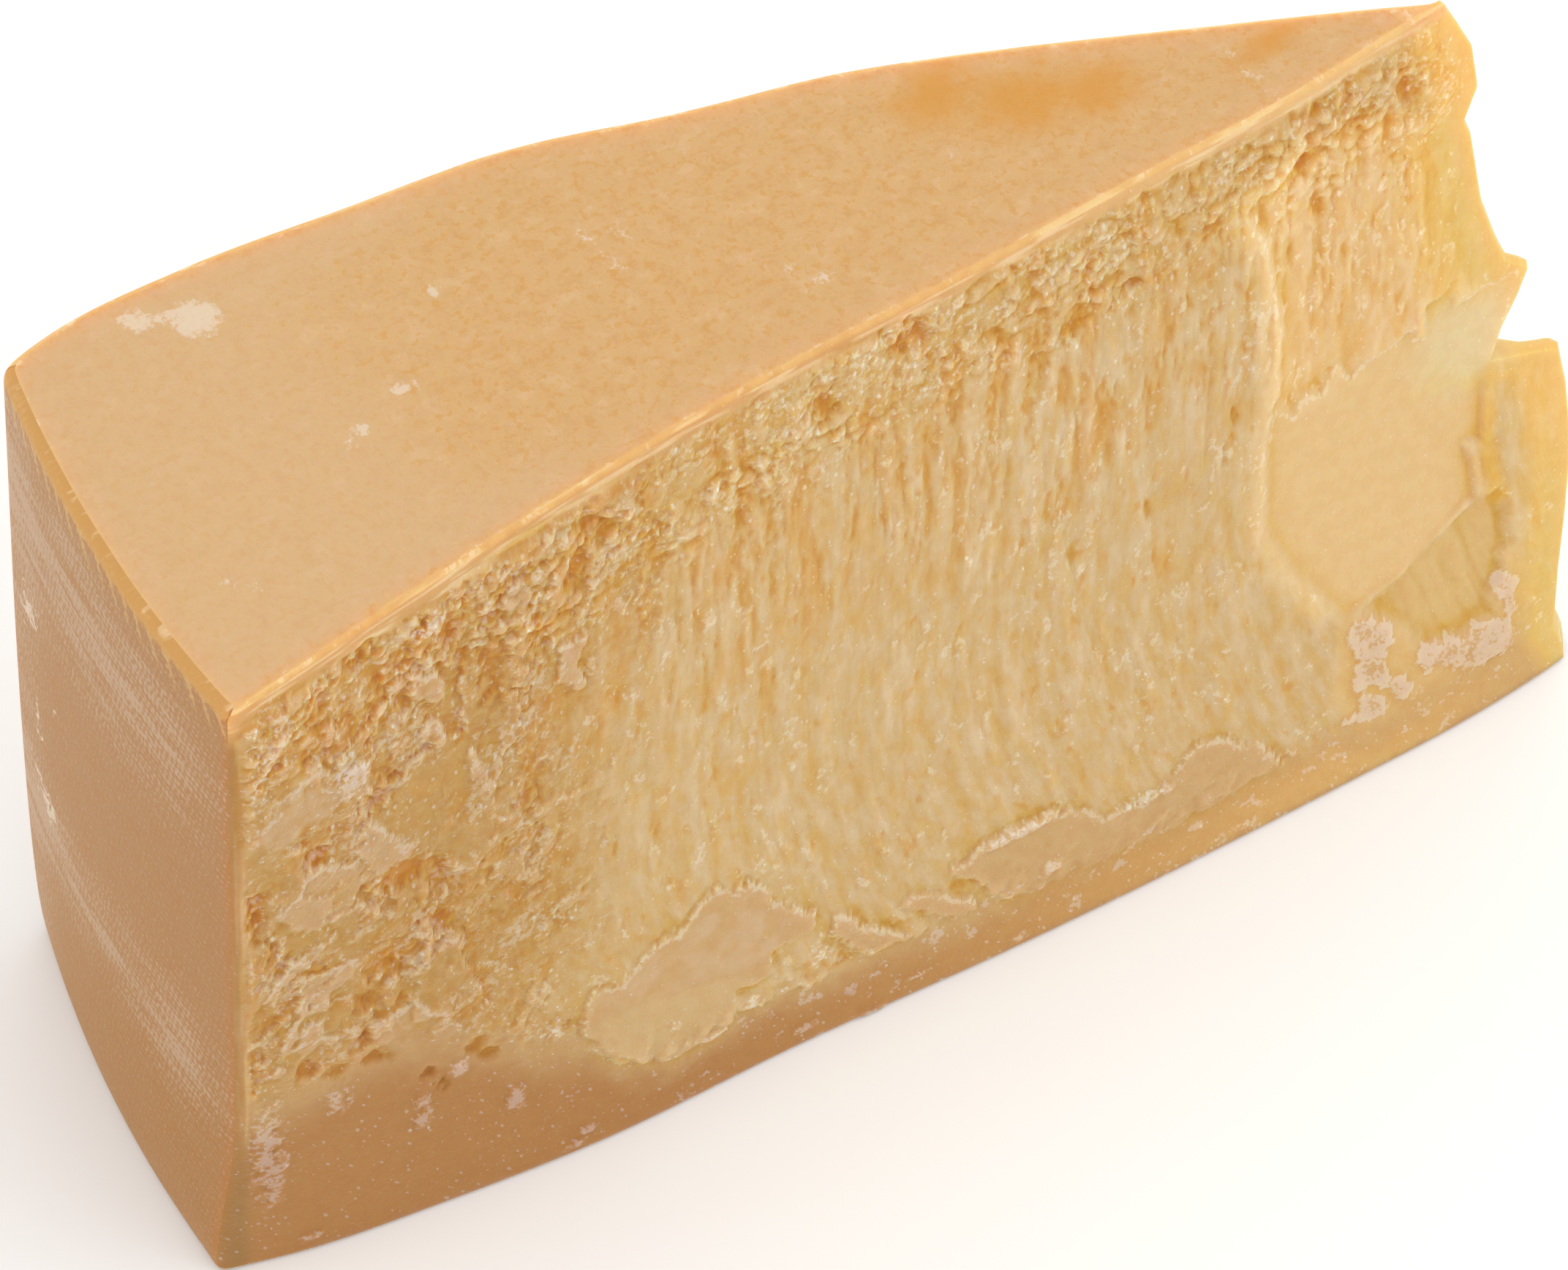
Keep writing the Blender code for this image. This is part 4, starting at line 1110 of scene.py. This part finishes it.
def whole_skin():
    """All points, faces, their flat map and what each point is."""
    ring, places = side_rings()
    rows, count = ring.shape[:2]
    points, top_faces, base_faces = capped(ring, places)
    index = np.arange(rows * count).reshape(rows, count)
    low, high = index[:-1], index[1:]
    quads = np.stack([low, np.roll(low, -1, 1), np.roll(high, -1, 1), high], axis=-1)
    parts = {"front": quads[:, :FRONT_POINTS].reshape(-1, 4),
             "back": quads[:, FRONT_POINTS:FRONT_POINTS + BACK_POINTS].reshape(-1, 4),
             "rim": quads[:, FRONT_POINTS + BACK_POINTS:].reshape(-1, 4),
             "top": top_faces, "base": base_faces}
    skin = {"faces": [], "mapped": [], "laid_out": [], "rim": [], "top": []}
    for number, (name, across, scale, shift) in enumerate(CHARTS):
        some = parts[name]
        skin["faces"] += some.tolist()
        skin["mapped"].append(chart_corners(some, points, across, scale, shift).reshape(-1, 2) / MAP_WIDTH_MM)
        skin["laid_out"].append(texture_places(name, number, points[some]).reshape(-1, 3))
        skin["rim"].append(np.full(len(some), float(name == "rim")))
        skin["top"].append(np.full(len(some), float(name in ("top", "base"))))
    for name in ("mapped", "laid_out", "rim", "top"):
        skin[name] = np.concatenate(skin[name])
    skin["points"] = uneven_top(points)
    skin["sharp"] = np.concatenate([index[0], index[-1]])
    return skin, places


def zone_colours(places):
    """The paste's own colour at every point, before its fine markings."""
    colour = np.tile(linear(PASTE)[:3], (len(places["band"]), 1))
    for name, strength, over in ZONES:
        share = (strength * places[name])[:, None]
        colour = colour * (1 - share) + share * np.array(linear(over)[:3])
    return colour


def keep_vectors(mesh, name, domain, values):
    """Keep three values for each point, face or corner."""
    stored = mesh.attributes.new(name, "FLOAT_VECTOR", domain)
    stored.data.foreach_set("vector", values.astype(np.float32).ravel())


def cheese_wedge():
    """The whole cheese as one closed mesh."""
    skin, places = whole_skin()
    points = (skin["points"] - BOX_MIDDLE_MM) * MM
    points = np.clip(points, np.array(CAD_BOX[0]), np.array(CAD_BOX[1]))
    mesh = bpy.data.meshes.new(PIECE)
    mesh.from_pydata(points.tolist(), [], skin["faces"])
    mesh.uv_layers.new(name=MAP_NAME).uv.foreach_set("vector", skin["mapped"].astype(np.float32).ravel())
    for name, parts in PACKS.items():
        keep_vectors(mesh, name, "POINT", np.stack([places[part] for part in parts], axis=-1))
    keep_vectors(mesh, "paste_colour", "POINT", zone_colours(places))
    keep_vectors(mesh, "kind", "FACE", np.stack([skin["rim"], skin["top"], 0 * skin["top"]], axis=-1))
    keep_vectors(mesh, "laid_out", "CORNER", skin["laid_out"])
    mesh.shade_smooth()
    ends = np.empty(2 * len(mesh.edges), dtype=np.int32)
    mesh.edges.foreach_get("vertices", ends)
    sharp = np.isin(ends.reshape(-1, 2), skin["sharp"]).all(axis=1)
    mesh.attributes.new("sharp_edge", "BOOLEAN", "EDGE").data.foreach_set("value", sharp)
    wedge = bpy.data.objects.new(PIECE, mesh)
    bpy.context.scene.collection.objects.link(wedge)
    return wedge


# ---------------------------------------------------------------- materials
def linear(colour):
    """A linear colour from a hex sRGB one."""
    parts = [int(colour[k:k + 2], 16) / 255 for k in (1, 3, 5)]
    return tuple(c / 12.92 if c <= 0.04045 else ((c + 0.055) / 1.055) ** 2.4 for c in parts) + (1.0,)


def add_node(tree, kind, settings, inputs):
    """Add a node with its settings, and link or set its inputs."""
    made = tree.nodes.new(kind)
    for name, value in settings.items():
        setattr(made, name, value)
    for socket, value in inputs.items():
        if isinstance(value, bpy.types.NodeSocket):
            tree.links.new(value, made.inputs[socket])
        else:
            made.inputs[socket].default_value = value
    return made


def new_material(name):
    """A new node material, with its node tree and its shader."""
    material = bpy.data.materials.new(name)
    material.use_nodes = True
    return material, material.node_tree, material.node_tree.nodes["Principled BSDF"]


def worked_out(tree, operation, *values):
    """What an arithmetic operation makes of one, two or three values."""
    return add_node(tree, "ShaderNodeMath", {"operation": operation}, dict(enumerate(values))).outputs[0]


def worn_mask(tree, value, noise, wobble, low, high):
    """1 where a value is above high and 0 below low, with a border that noise makes ragged."""
    moved = worked_out(tree, "MULTIPLY_ADD", noise, wobble, value)
    mask = add_node(tree, "ShaderNodeMapRange", {"interpolation_type": "SMOOTHSTEP"},
                    {0: moved, 1: low + wobble / 2, 2: high + wobble / 2})
    return mask.outputs[0]


def without(tree, mask):
    """1 where a mask is 0, and the other way round."""
    return worked_out(tree, "SUBTRACT", 1.0, mask)


def cloud(tree, where, width_mm, length_mm, detail, roughness):
    """Noise whose bumps are this wide and this long."""
    placed = add_node(tree, "ShaderNodeMapping", {}, {0: where, 3: (1 / width_mm, 1 / length_mm, 1.0)})
    noise = add_node(tree, "ShaderNodeTexNoise", {"noise_dimensions": "2D"},
                     {0: placed.outputs[0], "Scale": 1.0, "Detail": detail, "Roughness": roughness})
    return noise.outputs["Fac"]


def cloth_weave(tree, where, bends):
    """The imprint of cheesecloth: crossed threads bent by noise, from -1 to 1."""
    threads = []
    for turn_deg, pitch_mm in CLOTH_THREADS:
        turn = math.radians(turn_deg)
        across = (2 * math.pi / pitch_mm * math.cos(turn), 2 * math.pi / pitch_mm * math.sin(turn), 0.0)
        phase = add_node(tree, "ShaderNodeVectorMath", {"operation": "DOT_PRODUCT"}, {0: where, 1: across})
        bent = worked_out(tree, "MULTIPLY_ADD", bends, CLOTH_BEND, phase.outputs["Value"])
        threads.append(worked_out(tree, "SINE", bent))
    return worked_out(tree, "MULTIPLY", worked_out(tree, "ADD", *threads), 0.5)


def scattered(tree, where, fine, share):
    """Scattered small round marks with borders that fine noise wears: this share of the small cells holds
    one.
    """
    across, along = SPECK_CELL_MM
    placed = add_node(tree, "ShaderNodeMapping", {}, {0: where, 3: (1 / across, 1 / along, 1.0)})
    cells = add_node(tree, "ShaderNodeTexVoronoi", {"voronoi_dimensions": "2D"},
                     {0: placed.outputs[0], "Scale": 1.0})
    own = add_node(tree, "ShaderNodeSeparateColor", {}, {0: cells.outputs["Color"]}).outputs[0]
    held = worked_out(tree, "SUBTRACT", worked_out(tree, "ADD", own, share), 1.0)
    radius = add_node(tree, "ShaderNodeMapRange", {}, {0: held, 1: 0.0, 2: 0.4, 3: 0.0, 4: 0.34}).outputs[0]
    inside = worked_out(tree, "SUBTRACT", radius, cells.outputs["Distance"])
    return worn_mask(tree, inside, fine, 0.35, 0.0, 0.1)


def kept(tree, name):
    """What the mesh keeps under a name."""
    return add_node(tree, "ShaderNodeAttribute", {"attribute_name": name}, {}).outputs


def cheese_patterns(tree):
    """What the masks read: the mesh's kept values, noises, tears, white bits that also stand in for glints,
    and the cloth's weave.
    """
    where = kept(tree, "laid_out")["Vector"]
    seen = {}
    for name, parts in (*PACKS.items(), ("kind", ("rim", "top", "spare"))):
        values = add_node(tree, "ShaderNodeSeparateXYZ", {}, {0: kept(tree, name)["Vector"]}).outputs
        seen.update(zip(parts, values))
    for name, sizes in NOISES.items():
        seen[name] = cloud(tree, where, *sizes)
    seen["tear"] = worked_out(tree, "ABSOLUTE", worked_out(tree, "SUBTRACT", seen["flaky"], 0.525))
    speck_share = worked_out(tree, "MULTIPLY_ADD", seen["chips"], 0.3, 0.08)
    # white bits for crystals, which also stand in for glints, a painted highlight
    seen["specks"] = scattered(tree, where, seen["fine"], speck_share)
    # a thin line along the top edges, which carries the painted highlight there
    seen["edge"] = without(tree, worn_mask(tree, seen["edge_gap"], seen["grain"], 1.0, -0.2, 0.8))
    weave = worked_out(tree, "MULTIPLY", cloth_weave(tree, where, seen["grain"]), 0.42)
    seen["woven"] = worked_out(tree, "ADD", seen["marking"], weave)
    return seen


def layer_mask(tree, seen, part):
    """One mask of a layer, written as the note above HOLLOWS says."""
    name, *border = (part,) if isinstance(part, str) else part
    mask = seen[name.removeprefix("no ")]
    if border:
        noise, *numbers = border
        mask = worn_mask(tree, mask, seen[noise], *numbers)
    return without(tree, mask) if name.startswith("no ") else mask


def painted(tree, colour, seen, blend, layers):
    """Mix, multiply or add colours one after another, each as strong as its masks and its strength say."""
    for strength, over, *parts in layers:
        factors = [layer_mask(tree, seen, part) for part in parts]
        if strength != 1.0:
            factors.append(strength)
        share = reduce(lambda one, other: worked_out(tree, "MULTIPLY", one, other), factors)
        mix = add_node(tree, "ShaderNodeMix", {"data_type": "RGBA", "blend_type": blend},
                       {0: share, 6: colour, 7: linear(over)})
        colour = mix.outputs[2]
    return colour


def aged_hard_cheese():
    """Extra-hard cheese, split not cut: dry waxy paste with chalky torn edges, under a brushed, oiled rind.

    The eye gets a matt, slightly translucent straw yellow with painted shade deepening it in every hollow,
    whitish torn lips with painted highlight, a painted glow in the thin tip, and a smooth tan rind whose rim
    keeps the cheesecloth's weave.
    """
    material, tree, shader = new_material("aged_hard_cheese_split_and_brushed_rind")
    seen = cheese_patterns(tree)
    colour = kept(tree, "paste_colour")["Color"]
    for blend, layers in LAYERS:
        colour = painted(tree, colour, seen, blend, layers)
    tree.links.new(colour, shader.inputs["Base Color"])
    bump = add_node(tree, "ShaderNodeBump", {},
                    {"Strength": BUMP_STRENGTH, "Distance": BUMP_DEPTH_MM * MM, "Height": seen["fine"]})
    tree.links.new(bump.outputs[0], shader.inputs["Normal"])
    for socket, value in CHEESE_SHADER.items():
        shader.inputs[socket].default_value = value
    return material


def floor_material():
    """Matt pale studio paper, which gives the eye a plain ground with soft shadows."""
    material, tree, shader = new_material("pale_studio_paper")
    grain = add_node(tree, "ShaderNodeTexNoise", {}, {"Scale": 40.0, "Detail": 4.0}).outputs["Fac"]
    tint = add_node(tree, "ShaderNodeMix", {"data_type": "RGBA"},
                    {0: grain, 6: linear("#FAFAF9"), 7: linear("#FDFDFC")}).outputs[2]
    tree.links.new(tint, shader.inputs["Base Color"])
    shader.inputs["Roughness"].default_value = PAPER_ROUGHNESS
    return material


# ---------------------------------------------------------------- the studio
def studio_floor():
    """A wide pale floor just under the cheese."""
    half, low = FLOOR_HALF_WIDTH, -FLOOR_GAP
    mesh = bpy.data.meshes.new("floor")
    corners = [(-half, -half, low), (half, -half, low), (half, half, low), (-half, half, low)]
    mesh.from_pydata(corners, [], [(0, 1, 2, 3)])
    mesh.materials.append(floor_material())
    floor = bpy.data.objects.new("floor", mesh)
    bpy.context.scene.collection.objects.link(floor)


def studio_lights():
    """Even daylight-white surroundings with one big soft lamp over the tip's side."""
    world = bpy.data.worlds.new("studio")
    world.use_nodes = True
    background = world.node_tree.nodes["Background"]
    background.inputs["Color"].default_value = linear("#FFFFFF")
    background.inputs["Strength"].default_value = SURROUND_STRENGTH
    bpy.context.scene.world = world
    lamp = bpy.data.lights.new("overhead", "AREA")
    lamp.size = LAMP_SIZE
    lamp.energy = LAMP_WATTS
    lamp.color = linear("#FFFFFF")[:3]
    holder = bpy.data.objects.new("overhead", lamp)
    holder.location = LAMP_PLACE
    aim = Vector(LAMP_TARGET) - Vector(LAMP_PLACE)
    holder.rotation_euler = aim.to_track_quat("-Z", "Y").to_euler()
    bpy.context.scene.collection.objects.link(holder)


def camera():
    """The photographer's place: above the rim's front corner, with a long lens."""
    turn, height, roll = (math.radians(a) for a in (CAMERA_TURN_DEG, CAMERA_HEIGHT_DEG, CAMERA_ROLL_DEG))
    back = Vector((math.sin(turn) * math.cos(height), -math.cos(turn) * math.cos(height), math.sin(height)))
    level = Vector((math.cos(turn), math.sin(turn), 0))
    upward = back.cross(level)
    right = math.cos(roll) * level + math.sin(roll) * upward
    up = math.cos(roll) * upward - math.sin(roll) * level
    target = Vector((CAMERA_TARGET_MM - BOX_MIDDLE_MM) * MM)
    lens = bpy.data.cameras.new("camera")
    lens.sensor_width = SENSOR_WIDTH_MM
    lens.lens = FOCAL_LENGTH_PX / IMAGE_WIDTH_PX * SENSOR_WIDTH_MM
    lens.clip_start = CAMERA_CLIP_START
    holder = bpy.data.objects.new("camera", lens)
    place = Matrix((right, up, back)).transposed().to_4x4()
    place.translation = target + back * CAMERA_DISTANCE + right * CAMERA_SIDESTEP[0] + up * CAMERA_SIDESTEP[1]
    holder.matrix_world = place
    bpy.context.scene.collection.objects.link(holder)
    bpy.context.scene.camera = holder


def build():
    """Put the scene together."""
    bpy.context.scene.view_settings.view_transform = "Standard"
    camera()
    wedge = cheese_wedge()
    wedge.data.materials.append(aged_hard_cheese())
    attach(wedge, "root")
    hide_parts(NODE)
    studio_floor()
    studio_lights()


build()
